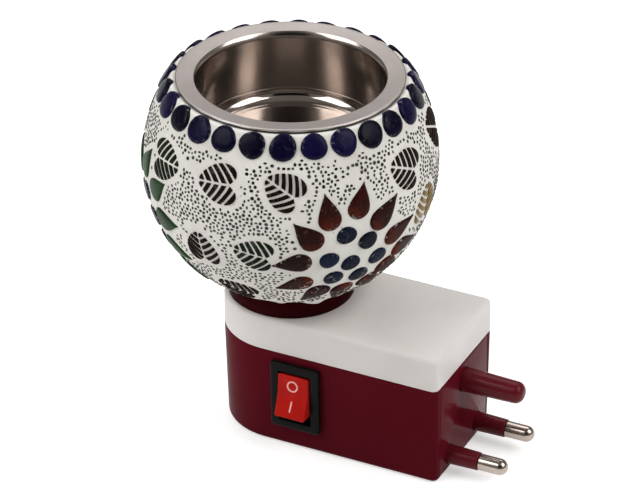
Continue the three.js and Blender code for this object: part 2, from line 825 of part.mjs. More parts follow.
// A place on the globe that looks out of it, turned about its own middle. Its +Y points up the globe.
function globePlace(longitude, latitude) {
  const angle = THREE.MathUtils.degToRad(longitude);
  const lift = THREE.MathUtils.degToRad(latitude);
  const out = new THREE.Vector3(
    Math.cos(lift) * Math.cos(angle),
    Math.cos(lift) * Math.sin(angle),
    Math.sin(lift),
  );
  const east = new THREE.Vector3(-Math.sin(angle), Math.cos(angle), 0);
  const north = new THREE.Vector3().crossVectors(out, east);
  const place = new THREE.Matrix4().makeBasis(east, north, out);
  return place.setPosition(out.multiplyScalar(globeRadius).add(new THREE.Vector3(0, 0, globeMiddle)));
}

function tile(plan, place, rise = tileRise) {
  const shape = new THREE.Shape(plan.map(([x, y]) => new THREE.Vector2(x, y)));
  const geometry = new THREE.ExtrudeGeometry(shape, { depth: rise + tileSink, bevelEnabled: false });
  return geometry.translate(0, 0, -tileSink).applyMatrix4(place);
}

// A place some way out from a flower's middle, across the globe, with +Y pointing away from the middle.
function flowerPlace(longitude, latitude, turn, distance) {
  const middle = globePlace(longitude, latitude);
  const around = new THREE.Matrix4().makeRotationZ(THREE.MathUtils.degToRad(turn));
  const lean = new THREE.Matrix4().makeRotationX(-distance / globeRadius);
  const away = new THREE.Matrix4().makeTranslation(0, 0, -globeRadius).premultiply(around);
  const back = new THREE.Matrix4().makeTranslation(0, 0, globeRadius);
  return middle.multiply(away).multiply(lean).multiply(back);
}

function mosaicTiles() {
  const tiles = [];
  const rimPlan = gemPlan(gemWidth, gemHeight, 8);
  const dotPlan = gemPlan(2 * dotRadius, 2 * dotRadius, 6);
  for (let i = 0; i < gemCount; i += 1) {
    tiles.push(tile(rimPlan, globePlace(gemTurn + (360 * i) / gemCount, gemLatitude), gemRise));
  }
  flowerSpots.forEach(([longitude, latitude, turn]) => {
    tiles.push(tile(dotPlan, flowerPlace(longitude, latitude, ...middlePlay)));
    dotPlay.forEach(([swing, out], i) => {
      const angle = turn + dotTurn - (360 * i) / dotPlay.length + swing;
      tiles.push(tile(dotPlan, flowerPlace(longitude, latitude, angle, dotRing + out)));
    });
    petalPlay.forEach(([swing, out], i) => {
      const angle = turn - (360 * i) / petalPlay.length + swing;
      tiles.push(tile(petalPlan(), flowerPlace(longitude, latitude, angle, petalRing + out)));
    });
  });
  leafSpots.forEach(([longitude, latitude, turn]) => {
    const spin = new THREE.Matrix4().makeRotationZ(THREE.MathUtils.degToRad(turn));
    tiles.push(tile(leafPlan(), globePlace(longitude, latitude).multiply(spin)));
  });
  return tiles;
}

function mosaicCoat() {
  const skin = ring([
    ...globeArc(globeRadius, globeBottom, globeTop, 8),
    ...globeArc(plasterInner, globeTop, globeBottom, 8),
  ], globeSides);
  return join(skin, ...mosaicTiles());
}

function cup() {
  const lipRadius = cupOuter - cupSheet + cupLipRound;
  const wallFoot = cupFloor + cupFootRound;
  const inner = cupOuter - cupSheet;
  const innerFoot = inner - cupTaper;
  const cornerFoot = innerFoot - cupStep - cupFootRound;
  return turned([
    [0, cupUnder],
    ...arc(cornerFoot, wallFoot, cupFootRound + cupSheet, -90, 0, 3),
    [cupOuter - cupTaper, wallFoot + cupSheet],
    ...arc(lipRadius, cupTop - cupLipRound, cupLipRound - cupSheet, 180, 90, 2),
    [cupFlange, cupTop - cupSheet],
    [cupFlange, cupTop],
    ...arc(lipRadius, cupTop - cupLipRound, cupLipRound, 90, 180, 2),
    [innerFoot, wallFoot],
    ...arc(cornerFoot, wallFoot, cupFootRound, 0, -90, 3),
    [0, cupFloor],
  ], globeSides);
}

// Lamp and its holder
function plateSlots() {
  const slot = block(
    -legThickness / 2 - pinGap,
    legThickness / 2 + pinGap,
    -legWidth / 2 - pinGap,
    legWidth / 2 + pinGap,
    plateUnder - 1,
    plateTop + 1,
  );
  return [
    slot.clone().translate(legRing(), 0, 0).rotateZ(THREE.MathUtils.degToRad(legTurn)),
    slot.clone().translate(contactLeg(), 0, 0),
  ];
}

// How far the shell's leg is from the axis.
function legRing() {
  return shellFlange - legThickness / 2;
}

// How far the contact's leg is from the axis.
function contactLeg() {
  return shellInner - 3 * legThickness;
}

function lampBase() {
  const ears = earSpots.map(([x, y]) => rod(x, y, earRadius, plateUnder, plateTop));
  const bridge = block(-earRadius, earRadius, -earOffset, earOffset, plateUnder, plateTop);
  const holes = earSpots.map(([x, y]) => rod(x, y, screwShank + seatGap, plateUnder - 1, plateTop + 1));
  const body = join(rod(0, 0, lampPlate, plateUnder, plateTop, turnedSides), bridge, ...ears);
  return cut(body, ...holes, ...plateSlots());
}

// Heights and swells of a rolled thread, from its foot up.
function threadWave(foot) {
  return Array.from({ length: 2 * threadTurns + 1 }, (_, i) => [
    foot + (threadPitch * i) / 2,
    i % 2 === 0 ? 0 : threadDepth,
  ]);
}

function lampShell() {
  const wave = threadWave(capFoot);
  const body = ring([
    [shellInner, plateTop],
    [shellFlange, plateTop],
    [shellFlange, plateTop + shellWall],
    [shellOuter, plateTop + 2 * shellWall],
    ...wave.map(([z, swell]) => [shellOuter + swell, z]),
    ...wave.map(([z, swell]) => [shellInner + swell, z]).reverse(),
  ]);
  const leg = block(
    -legThickness / 2,
    legThickness / 2,
    -legWidth / 2,
    legWidth / 2,
    plateUnder - legLength,
    plateTop + shellWall / 2,
  ).translate(legRing(), 0, 0).rotateZ(THREE.MathUtils.degToRad(legTurn));
  return join(body, leg);
}

function lampContact() {
  const reach = contactLeg() + legThickness / 2;
  const strip = block(-tipRadius, reach, -stripWidth / 2, stripWidth / 2, plateTop, stripTop);
  const leg = block(
    reach - legThickness,
    reach,
    -legWidth / 2,
    legWidth / 2,
    plateUnder - legLength,
    stripTop - stripThickness / 2,
  );
  return join(strip, leg);
}

function bulbTip() {
  return turned([
    [0, tipFoot],
    [tipRadius / 2, tipFoot],
    [tipRadius, tipFoot + tipHeight / 2],
    [tipRadius, tipFoot + tipHeight],
    [0, tipFoot + tipHeight],
  ], smallSides);
}

function bulbInsulator() {
  return turned([
    [0, insulatorFoot],
    [tipRadius, insulatorFoot],
    [capRadius - capWall, insulatorFoot + insulatorHeight],
    [0, insulatorFoot + insulatorHeight],
  ], smallSides);
}

function bulbCap() {
  const wave = threadWave(capFoot + capWall).filter(([z]) => z < capTop - capWall);
  const inner = capRadius - capWall;
  return ring([
    [inner - 2 * capWall, capFoot],
    [capRadius, capFoot],
    ...wave.map(([z, swell]) => [capRadius + swell, z]),
    [capRadius, capTop],
    [inner, capTop],
    ...wave.map(([z, swell]) => [inner + swell, z]).reverse(),
    [inner - 2 * capWall, capFoot + capWall],
  ]);
}

function bulbNeck() {
  return capRadius - capWall - seatGap;
}

// A round-topped envelope that is open at its neck.
function bulbGlass() {
  const wall = (inset) => {
    const radius = bulbRadius - inset;
    const middle = bulbTop - bulbRadius;
    return [
      [bulbNeck() - inset, capTop - neckDepth],
      [bulbNeck() - inset, capTop],
      [(bulbNeck() + bulbRadius) / 2 - inset, (capTop + middle) / 2 - 0.2 * bulbRadius],
      ...arc(0, middle, radius, 0, 90, 6).map(([r, z], i) => [i === 6 ? 0 : r, z]),
    ];
  };
  return turned([...wall(bulbWall).reverse(), ...wall(0)]);
}

function stemFoot() {
  return capTop - neckDepth;
}

function bulbStem() {
  const foot = bulbNeck() - bulbWall - seatGap;
  return turned([
    [0, stemFoot()],
    [foot, stemFoot()],
    [stemTop, stemFoot() + 0.4 * stemHeight],
    [stemTop, stemFoot() + stemHeight],
    [0, stemFoot() + stemHeight],
  ], 12);
}

function bulbFilament() {
  const foot = stemFoot() + stemHeight + seatGap;
  const leg = stemTop - filamentRadius;
  const side = bulbRadius * 0.45;
  const rise = (bulbTop - bulbWall - foot) * 0.5;
  return tube([
    [-leg, 0, foot],
    [-leg - 0.2, 0, foot + 0.3 * rise],
    [-side, 0, foot + rise],
    [-0.5 * side, 0, foot + 1.15 * rise],
    [0, 0, foot + 0.95 * rise],
    [0.5 * side, 0, foot + 1.15 * rise],
    [side, 0, foot + rise],
    [leg + 0.2, 0, foot + 0.3 * rise],
    [leg, 0, foot],
  ], filamentRadius, 6, 24);
}

// Where a tab of the switch ends, in the part's own frame.
function tabEnd(z) {
  const end = new THREE.Vector3(0, tabBack + seatGap, z).applyMatrix4(switchPlace().matrix);
  return [end.x, end.y, end.z];
}

function between(from, to, share) {
  return from + (to - from) * share;
}

// Wires, each from its pin or tab to its tab or leg.
function lineWire() {
  const [x, y, z] = tabEnd(0);
  return tube([
    [tailBack - seatGap, -pinSpacing / 2, pinHeight],
    [tailBack - wireBend, -pinSpacing / 2, pinHeight],
    [caseScrewReach, -innerLane, between(pinHeight, z, 0.07)],
    [between(x, caseScrewReach, 0.75), -innerLane / 2, between(pinHeight, z, 0.2)],
    [between(x, caseScrewReach, 0.45), y + wireRadius, between(pinHeight, z, 0.47)],
    [x + wireBend, outerLane - 2 * wireRadius - wireRoom, z - wireBend / 2],
    [x, y + wireBend, z],
    [x, y, z],
  ], wireRadius, wireSides, 20);
}

function switchedWire() {
  const [x, y, z] = tabEnd(tabRise);
  const leg = contactLeg();
  const end = plateUnder - legLength - seatGap;
  return tube([
    [x, y, z],
    [x, y + wireBend, z],
    [x - 2 * wireRadius, y + 1.5 * wireBend, z + wireBend / 2],
    [leg + wireRadius, wireBend, end - wireBend],
    [leg, 0, end - 2 * wireRadius],
    [leg, 0, end],
  ], wireRadius, wireSides, 16);
}

function neutralWire() {
  const [x, y] = arc(0, 0, legRing(), legTurn, legTurn, 1)[0];
  const end = plateUnder - legLength - seatGap;
  return tube([
    [tailBack - seatGap, pinSpacing / 2, pinHeight],
    [tailBack - wireBend, pinSpacing / 2, pinHeight],
    [caseScrewReach, innerLane, between(pinHeight, end, 0.05)],
    [between(switchReach, caseScrewReach, 0.65), innerLane, between(pinHeight, end, 0.17)],
    [between(switchReach, caseScrewReach, 0.15), outerLane, between(pinHeight, end, 0.4)],
    [between(x, switchReach, 0.45), outerLane - wireRadius, between(pinHeight, end, 0.62)],
    [x, y + wireRadius, end - wireBend],
    [x, y, end],
  ], wireRadius, wireSides, 22);
}

function piece(name, geometry, look) {
  const mesh = new THREE.Mesh(geometry, new THREE.MeshStandardMaterial(look));
  mesh.name = name;
  return mesh;
}

const burner = new THREE.Group();
burner.add(
  piece("base_case", baseCase(), maroon),
  piece("lid", lid(), white),
  piece("pin_plate", pinPlate(), maroon),
  piece("pin_retainer", pinRetainer(), black),
  piece("line_pin", pin(pinSides[0]), nickel),
  piece("neutral_pin", pin(pinSides[1]), nickel),
  piece("line_pin_sleeve", sleeve(pinSides[0]), maroon),
  piece("neutral_pin_sleeve", sleeve(pinSides[1]), maroon),
  piece("earth_pin", earthPin(), maroon),
  piece("collar", collar(), maroon),
  piece("glass_bowl", glassBowl(), clearGlass),
  piece("mosaic_coat", mosaicCoat(), plaster),
  piece("cup", cup(), steel),
  piece("lamp_plate", lampBase(), brownResin),
  piece("lamp_shell", lampShell(), brass),
  piece("lamp_contact", lampContact(), brass),
  piece("bulb_tip", bulbTip(), steel),
  piece("bulb_insulator", bulbInsulator(), black),
  piece("bulb_cap", bulbCap(), brass),
  piece("bulb_glass", bulbGlass(), clearGlass),
  piece("bulb_stem", bulbStem(), clearGlass),
  piece("bulb_filament", bulbFilament(), steel),
  piece("line_wire", lineWire(), brownResin),
  piece("switched_wire", switchedWire(), brownResin),
  piece("neutral_wire", neutralWire(), black),
);

// The switch leans with the wall, and its rocker rests in the off position with the upper half pressed.
const rockerSwitch = switchPlace();
const rockerBody = new THREE.Group();
rockerBody.position.y = rockerPivot;
rockerBody.rotation.x = -THREE.MathUtils.degToRad(rockerThrow / 2);
rockerBody.add(
  piece("rocker", rocker(), red),
  piece("plunger", plunger(), brass),
  piece("plunger_spring", plungerSpring(), steel),
);
const lever = piece("contact_lever", contactLever(), brass);
lever.position.y = leverDepth;
lever.rotation.x = THREE.MathUtils.degToRad(leverThrow / 2);
rockerSwitch.add(
  piece("switch_housing", switchHousing(), black),
  rockerBody,
  lever,
  piece("common_terminal", terminal(tabFront, 0), brass),
  piece("lamp_terminal", terminal(tabFront + tabDrop, tabRise), brass),
);
burner.add(rockerSwitch);

caseScrewSpots.forEach(([x, y], i) => {
  const mesh = piece(`case_screw_${i + 1}`, screw(caseBossTop - caseScrewSeat + screwGrip), steel);
  mesh.position.set(x, y, caseScrewSeat - seatGap);
  burner.add(mesh);
});
collarScrewTurns.forEach((turn, i) => {
  const [x, y] = arc(0, 0, collarScrewRing, turn, turn, 1)[0];
  const mesh = piece(`collar_screw_${i + 1}`, screw(lidTop + collarScrewGrip), steel);
  mesh.position.set(x, y, lidUnder - seatGap);
  burner.add(mesh);
});
earSpots.forEach(([x, y], i) => {
  const mesh = piece(`lamp_screw_${i + 1}`, screw(lampPlateThickness + lampScrewGrip), steel);
  mesh.position.set(x, y, plateUnder - seatGap);
  burner.add(mesh);
});
pinSides.forEach((y, i) => {
  const mesh = piece(`retainer_screw_${i + 1}`, screw(retainerThickness + plateBack - retainerFront), steel);
  mesh.position.set(retainerBack - seatGap, y, retainerScrewHeight);
  mesh.rotation.y = Math.PI / 2;
  burner.add(mesh);
});

export default burner;
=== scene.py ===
from math import acos, asin, atan2, cos, degrees, hypot, pi, radians, sin, sqrt, tan
import bmesh
import bpy
from mathutils import Matrix, Vector, noise


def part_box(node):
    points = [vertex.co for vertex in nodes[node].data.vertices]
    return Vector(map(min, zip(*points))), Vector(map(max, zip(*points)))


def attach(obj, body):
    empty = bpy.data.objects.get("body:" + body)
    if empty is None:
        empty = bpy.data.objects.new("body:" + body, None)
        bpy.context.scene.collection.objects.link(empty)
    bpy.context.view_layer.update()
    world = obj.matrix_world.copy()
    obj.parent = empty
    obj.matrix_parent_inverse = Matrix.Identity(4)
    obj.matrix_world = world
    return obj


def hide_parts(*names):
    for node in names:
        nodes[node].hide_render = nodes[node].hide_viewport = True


# Plug-in camphor burner: mosaic globe with a steel cup, on a plug base with a rocker switch.
# Sizes are in millimetres here and become metres when a mesh is made.
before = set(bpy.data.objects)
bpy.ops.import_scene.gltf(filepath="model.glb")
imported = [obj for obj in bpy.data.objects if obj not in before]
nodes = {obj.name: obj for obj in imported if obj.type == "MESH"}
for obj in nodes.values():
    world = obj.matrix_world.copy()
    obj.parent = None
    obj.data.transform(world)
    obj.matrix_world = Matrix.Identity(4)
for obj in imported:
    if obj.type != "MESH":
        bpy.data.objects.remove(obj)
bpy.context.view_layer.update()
scene = bpy.context.scene
scene.view_settings.view_transform = "Standard"
mm = 0.001
print("frame loaded:", len(nodes), "nodes")

viewpoint = {"turn": 25.86, "tilt": 30.662, "right": 7.473, "up": 46.556, "away": 1167.887, "lens": 226.77,
             "sensor": 36, "near": 0.01, "far": 50}


def placed(name, data):
    thing = bpy.data.objects.new(name, data)
    scene.collection.objects.link(thing)
    return thing


def setCamera():
    turn, tilt = radians(viewpoint["turn"]), radians(viewpoint["tilt"])
    right = Vector((cos(turn), sin(turn), 0))
    ahead = Vector((-sin(turn) * cos(tilt), cos(turn) * cos(tilt), -sin(tilt)))
    up = right.cross(ahead)
    place = (right * viewpoint["right"] + up * viewpoint["up"] - ahead * viewpoint["away"]) * mm
    lens = bpy.data.cameras.new("photoView")
    lens.lens = viewpoint["lens"]
    lens.sensor_width = viewpoint["sensor"]
    lens.sensor_fit = "HORIZONTAL"
    lens.clip_start = viewpoint["near"]
    lens.clip_end = viewpoint["far"]
    eye = placed("photoView", lens)
    eye.matrix_world = Matrix.Translation(place) @ Matrix((right, up, -ahead)).transposed().to_4x4()
    scene.camera = eye


setCamera()
print("camera set")


# Shapes

tiny = 1e-6
mergeWithin = 1e-7
past = 1  # how far a cutter runs past the surface that it opens


def pieceFrom(name, points, faces=()):
    mesh = bpy.data.meshes.new(name)
    mesh.from_pydata([Vector(p) * mm for p in points], [], faces)
    mesh.update()
    return placed(name, mesh)


def shade(mesh, angle):
    mesh.polygons.foreach_set("use_smooth", [True] * len(mesh.polygons))
    mesh.set_sharp_from_angle(angle=radians(angle))
    mesh.update()


def smooth(piece, angle, turnOut=True):
    work = bmesh.new()
    work.from_mesh(piece.data)
    bmesh.ops.remove_doubles(work, verts=work.verts, dist=mergeWithin)
    if turnOut:
        bmesh.ops.recalc_face_normals(work, faces=work.faces)
    work.to_mesh(piece.data)
    work.free()
    shade(piece.data, angle)
    return piece


def settle(piece):
    # bakes the live modifiers into a plain mesh
    graph = bpy.context.evaluated_depsgraph_get()
    shaped = piece.evaluated_get(graph)
    mesh = bpy.data.meshes.new_from_object(shaped, preserve_all_data_layers=True, depsgraph=graph)
    piece.modifiers.clear()
    old = piece.data
    piece.data = mesh
    bpy.data.meshes.remove(old)


def discard(*pieces):
    for piece in pieces:
        mesh = piece.data
        bpy.data.objects.remove(piece)
        bpy.data.meshes.remove(mesh)


def carve(piece, *tools, way="DIFFERENCE"):
    for tool in tools:
        step = piece.modifiers.new("carve", "BOOLEAN")
        step.operation = way
        step.solver = "EXACT"
        step.object = tool
    settle(piece)
    discard(*tools)


def soften(piece, width, steps=3, angle=40):
    step = piece.modifiers.new("soften", "BEVEL")
    step.width = width * mm
    step.segments = steps
    step.limit_method = "ANGLE"
    step.angle_limit = radians(angle)
    step.use_clamp_overlap = True
    settle(piece)


def moved(piece, matrix):
    piece.data.transform(matrix)
    piece.data.update()
    return piece


def arc(x, y, radius, start, end, steps):
    turns = [radians(start + (end - start) * i / steps) for i in range(steps + 1)]
    return [(x + radius * cos(t), y + radius * sin(t)) for t in turns]


def ringsOf(start, count, rows):
    return [list(range(first, first + count)) for first in range(start, start + count * rows, count)]


def band(low, high):
    # faces between two rings of equally many corners
    return [[low[i - 1], low[i], high[i], high[i - 1]] for i in [*range(1, len(low)), 0]]


def turned(name, profile, sides, closed=False):
    # turns (radius, height) points about Z; radius 0 is a pole
    points, rings, faces = [], [], []
    turns = [2 * pi * i / sides for i in range(sides)]
    for radius, height in profile:
        start = len(points)
        if radius < tiny:
            rings.append([start] * sides)
            points.append((0, 0, height))
        else:
            rings += ringsOf(start, sides, 1)
            points += [(radius * cos(t), radius * sin(t), height) for t in turns]
    pairs = list(zip(rings, rings[1:]))
    if closed:
        pairs.append((rings[-1], rings[0]))
    for low, high in pairs:
        faces += [list(dict.fromkeys(face)) for face in band(low, high)]
    return pieceFrom(name, points, [face for face in faces if len(face) > 2])


def piled(name, levels):
    # stacks outlines of equally many corners, with a cap at each end
    points = [(x, y, z) for outline, z in levels for x, y in outline]
    rings = ringsOf(0, len(levels[0][0]), len(levels))
    faces = [rings[0][::-1], rings[-1]]
    for low, high in zip(rings, rings[1:]):
        faces += band(low, high)
    return pieceFrom(name, points, faces)


def block(x0, x1, y0, y1, z0, z1):
    outline = [(x0, y0), (x1, y0), (x1, y1), (x0, y1)]
    return piled("block", [(outline, z0), (outline, z1)])


def rod(x, y, radius, z0, z1, sides=40):
    outline = arc(x, y, radius, 0, 360 - 360 / sides, sides - 1)
    return piled("rod", [(outline, z0), (outline, z1)])


alongX = Matrix(((0, 0, 1, 0), (1, 0, 0, 0), (0, 1, 0, 0), (0, 0, 0, 1)))
facingFront = Matrix.Rotation(pi / 2, 4, "X")


def shifted(x, y, z):
    return Matrix.Translation(Vector((x, y, z)) * mm)


# Nodes

def feed(tree, node, feeds):
    # a socket is linked, and a number, colour or word is set
    for label, value in feeds.items():
        if isinstance(value, bpy.types.NodeSocket):
            tree.links.new(value, node.inputs[label])
        elif value is not None:
            node.inputs[label].default_value = value
    return node


def addNode(tree, kind, feeds, **settings):
    node = tree.nodes.new(kind)
    for label, value in settings.items():
        setattr(node, label, value)
    return feed(tree, node, feeds)


def newTree(kind, name, takes, gives):
    # the sockets are listed by their kind
    tree = bpy.data.node_groups.new(name, kind)
    for way, sockets in (("INPUT", takes), ("OUTPUT", gives)):
        for socket, labels in sockets.items():
            for label in labels:
                tree.interface.new_socket(label, in_out=way, socket_type="NodeSocket" + socket)
    return tree, tree.nodes.new("NodeGroupInput").outputs, tree.nodes.new("NodeGroupOutput")


def addMath(tree, way, first, second=None, clamp=False):
    return addNode(tree, "ShaderNodeMath", {0: first, 1: second}, operation=way, use_clamp=clamp).outputs[0]


def times(tree, first, second, clamp=False):
    return addMath(tree, "MULTIPLY", first, second, clamp)


def plus(tree, first, second):
    return addMath(tree, "ADD", first, second)


def addRange(tree, value, low, high, toLow=0.0, toHigh=1.0):
    return addNode(tree, "ShaderNodeMapRange", {0: value, 1: low, 2: high, 3: toLow, 4: toHigh}).outputs[0]


def addMix(tree, share, first, second):
    return addNode(tree, "ShaderNodeMix", {0: share, 6: first, 7: second}, data_type="RGBA").outputs[2]


def addNoise(tree, place, scale, detail=2.0, rough=0.5):
    feeds = {"Vector": place, "Scale": scale, "Detail": detail, "Roughness": rough}
    return addNode(tree, "ShaderNodeTexNoise", feeds).outputs["Fac"]


def patches(tree, place, scale, low, high, detail=2.0, rough=0.5):
    # noise that is 0 up to a low value and 1 from a high one
    return addRange(tree, addNoise(tree, place, scale, detail, rough), low, high)


def addPlace(tree):
    return tree.nodes.new("ShaderNodeTexCoord").outputs["Object"]


def addTag(tree, name):
    return addNode(tree, "ShaderNodeAttribute", {}, attribute_name=name).outputs["Fac"]


def axesOf(tree, place):
    return addNode(tree, "ShaderNodeSeparateXYZ", {0: place}).outputs


# Finishes: a patch is its noise's scale, low and high value, detail and roughness;
# the grain takes its scales as inputs

plasterTone = (231, 229, 222)
grainLook = {"patch": (0.32, 0.68, 3.0), "patchShare": 0.65, "grainShare": 0.35}
# the glow is painted light glowing through the glass at a tile's round end
glassLook = {"cloud": (260.0, 3.0), "shadeShare": 0.6, "cloudShare": 0.5, "tone": (0.2, 0.95),
             "paintedGlowEnd": (-0.1, -0.95), "glow": (240.0, 0.42, 0.68), "speck": (900.0, 0.56, 0.63, 4.0, 0.7),
             "smear": (190.0, 0.42, 0.6), "rim": (0.72, 1.0), "rimShare": 0.5, "low": (0.069, 0.054),
             "everywhere": 0.04, "rough": (0.3, 0.7, 0.24, 0.38), "scuffRough": 0.5, "wave": 330.0,
             "depth": 0.12}
# the pit tone is painted shade in the plaster's pinholes
plasterLook = {"lump": (120.0, 3.0), "grit": (1500.0, 4.0, 0.6), "smear": (60.0, 0.45, 0.75, 4.0, 0.6),
               "smearTone": (216, 213, 206), "pit": (900.0, 0.3, 0.22), "pitShadeShare": 0.5,
               "pitShadeTone": (170, 166, 158), "crumb": (1150.0, 0.67, 0.72, 3.0, 0.6), "field": (90.0, 0.48, 0.62),
               "crumbTone": (62, 56, 54), "rough": (0.3, 0.7, 0.55, 0.8), "gritDepth": 0.12, "pitDepth": 0.15,
               "depth": 0.35, "gloss": 0.3}
steelLook = {"rings": 1900.0, "smudge": (75.0, 0.4, 0.7, 4.0, 0.6), "flange": (0.0269, 0.0272),
             "bright": ((191, 183, 180), (182, 173, 169)), "burnt": ((184, 175, 168), (166, 156, 149)),
             "floor": (0.0935, 0.0905), "wallRough": 0.17, "floorRough": 0.1, "smudgeRough": 0.06,
             "flangeRough": 0.36, "ringRough": 0.08, "depth": 0.0016}
surfaceGives = {"Color": ["Colour"], "Float": ["Roughness", "Height"]}


def tint(red, green, blue):
    # screen colour, 0 to 255, as the linear colour that the shader takes
    shares = [value / 255 for value in (red, green, blue)]
    return (*[s / 12.92 if s <= 0.04045 else ((s + 0.055) / 1.055) ** 2.4 for s in shares], 1)


def buildGrain():
    # broad patches of tone and gloss, with a fine grain
    look = grainLook
    group, given, out = newTree("ShaderNodeTree", "handledGrain", {
        "Color": ["Light", "Dark"],
        "Float": ["Patch Scale", "Grain Scale", "Rough Low", "Rough High"]}, surfaceGives)
    place = addPlace(group)
    patch = patches(group, place, given["Patch Scale"], *look["patch"])
    grain = addNoise(group, place, given["Grain Scale"])
    gloss = plus(group, times(group, patch, look["patchShare"]), times(group, grain, look["grainShare"]))
    feed(group, out, {
        "Colour": addMix(group, patch, given["Light"], given["Dark"]),
        "Roughness": addRange(group, gloss, 0.0, 1.0, given["Rough Low"], given["Rough High"]),
        "Height": grain})
    return group


def buildGlassTone():
    # each glass piece has its own tone, a painted glow of light through the glass towards one end and a little
    # plaster left on it low down
    look = glassLook
    group, given, out = newTree("ShaderNodeTree", "glassTone", {
        "Color": ["Deep", "Bright", "Glow", "Plaster"],
        "Float": ["Painted Glow Share", "Scuff", "Dull"]}, surfaceGives)
    place = addPlace(group)
    cloud = addNoise(group, place, *look["cloud"])
    own = plus(group, times(group, addTag(group, "shade"), look["shadeShare"]),
               times(group, cloud, look["cloudShare"]))
    tone = addMix(group, addRange(group, own, *look["tone"]), given["Deep"], given["Bright"])
    # painted glow: the glass lighter towards its round end, as if lit through
    glow = addRange(group, addTag(group, "along"), *look["paintedGlowEnd"])
    glow = times(group, glow, patches(group, place, *look["glow"]))
    glow = times(group, glow, given["Painted Glow Share"], clamp=True)
    speck = times(group, patches(group, place, *look["speck"]), patches(group, place, *look["smear"]))
    rim = addRange(group, addTag(group, "rim"), *look["rim"])
    low = addRange(group, axesOf(group, place)[2], *look["low"])
    reach = plus(group, times(group, rim, look["rimShare"]), plus(group, low, look["everywhere"]))
    scuff = times(group, times(group, speck, reach), given["Scuff"], clamp=True)
    rough = plus(group, addRange(group, cloud, *look["rough"]), times(group, scuff, look["scuffRough"]))
    feed(group, out, {
        "Colour": addMix(group, scuff, addMix(group, glow, tone, given["Glow"]), given["Plaster"]),
        "Roughness": plus(group, rough, given["Dull"]), "Height": addNoise(group, place, look["wave"])})
    return group


grainGroup = buildGrain()
glassGroup = buildGlassTone()


def newFinish(name):
    finish = bpy.data.materials.new(name)
    finish.use_nodes = True
    tree = finish.node_tree
    return finish, tree, tree.nodes["Principled BSDF"]


def bumped(tree, height, depth):
    feeds = {"Strength": 1.0, "Distance": depth * mm, "Height": height}
    return addNode(tree, "ShaderNodeBump", feeds).outputs[0]


def surfaced(name, group, values, depth, feeds):
    # a finish whose colour, roughness and relief come from a group
    finish, tree, shader = newFinish(name)
    use = addNode(tree, "ShaderNodeGroup", values, node_tree=group).outputs
    feed(tree, shader, {"Base Color": use["Colour"], "Roughness": use["Roughness"],
                        "Normal": bumped(tree, use["Height"], depth), **feeds})
    return finish


def grained(name, light, dark, rough, patch, grain, depth, metal=0.0, gloss=0.5, clear=0.0, sheen=(1, 1, 1)):
    values = {"Light": tint(*light), "Dark": tint(*dark), "Patch Scale": patch, "Grain Scale": grain,
              "Rough Low": rough[0], "Rough High": rough[1]}
    return surfaced(name, grainGroup, values, depth, {
        "Metallic": metal, "Specular IOR Level": gloss, "Specular Tint": (*sheen, 1), "Alpha": 1 - clear})


def stained(name, deep, bright, glow=(0, 0, 0), paintedGlowShare=0.0, scuff=0.5, gloss=0.15, dull=0.0):
    values = {"Deep": tint(*deep), "Bright": tint(*bright), "Glow": tint(*glow), "Painted Glow Share": paintedGlowShare,
              "Plaster": tint(*plasterTone), "Scuff": scuff, "Dull": dull}
    return surfaced(name, glassGroup, values, glassLook["depth"], {"Specular IOR Level": gloss})


def plasterFinish():
    # uneven hand-smoothed plaster with pinholes painted darker with shade, dark crumbs and faint grey smears
    look = plasterLook
    finish, tree, shader = newFinish("plaster")
    place = addPlace(tree)
    grit = addNoise(tree, place, *look["grit"])
    tone = addMix(tree, patches(tree, place, *look["smear"]), tint(*plasterTone), tint(*look["smearTone"]))
    pit = patches(tree, place, *look["pit"])
    # the pinholes are pressed in and painted darker too: painted shade
    tone = addMix(tree, times(tree, pit, look["pitShadeShare"]), tone, tint(*look["pitShadeTone"]))
    crumbs = times(tree, patches(tree, place, *look["crumb"]), patches(tree, place, *look["field"]))
    height = plus(tree, addNoise(tree, place, *look["lump"]), times(tree, grit, look["gritDepth"]))
    height = addMath(tree, "SUBTRACT", height, times(tree, pit, look["pitDepth"]))
    feed(tree, shader, {
        "Base Color": addMix(tree, crumbs, tone, tint(*look["crumbTone"])),
        "Roughness": addRange(tree, grit, *look["rough"]),
        "Normal": bumped(tree, height, look["depth"]), "Specular IOR Level": look["gloss"]})
    return finish


def steelFinish():
    # spun sheet: fine rings, satin on the flange and polished inside
    look = steelLook
    finish, tree, shader = newFinish("spunSteel")
    place = addPlace(tree)
    x, y, z = axesOf(tree, place)
    radius = addMath(tree, "SQRT", plus(tree, times(tree, x, x), times(tree, y, y)))
    rings = addNoise(tree, addNode(tree, "ShaderNodeCombineXYZ", {0: radius, 1: z}).outputs[0], look["rings"])
    smudge = patches(tree, place, *look["smudge"])
    flange = addRange(tree, radius, *look["flange"])
    bright, burnt = (addMix(tree, smudge, *[tint(*tone) for tone in look[part]])
                     for part in ("bright", "burnt"))
    floor = addRange(tree, z, *look["floor"], look["wallRough"], look["floorRough"])
    inside = plus(tree, times(tree, smudge, look["smudgeRough"]), floor)
    satin = plus(tree, times(tree, rings, look["ringRough"]), look["flangeRough"])
    within = addMath(tree, "SUBTRACT", 1.0, flange)
    feed(tree, shader, {
        "Base Color": addMix(tree, flange, burnt, bright),
        "Roughness": plus(tree, times(tree, flange, satin), times(tree, within, inside)),
        "Normal": bumped(tree, rings, look["depth"]), "Metallic": 1.0})
    return finish


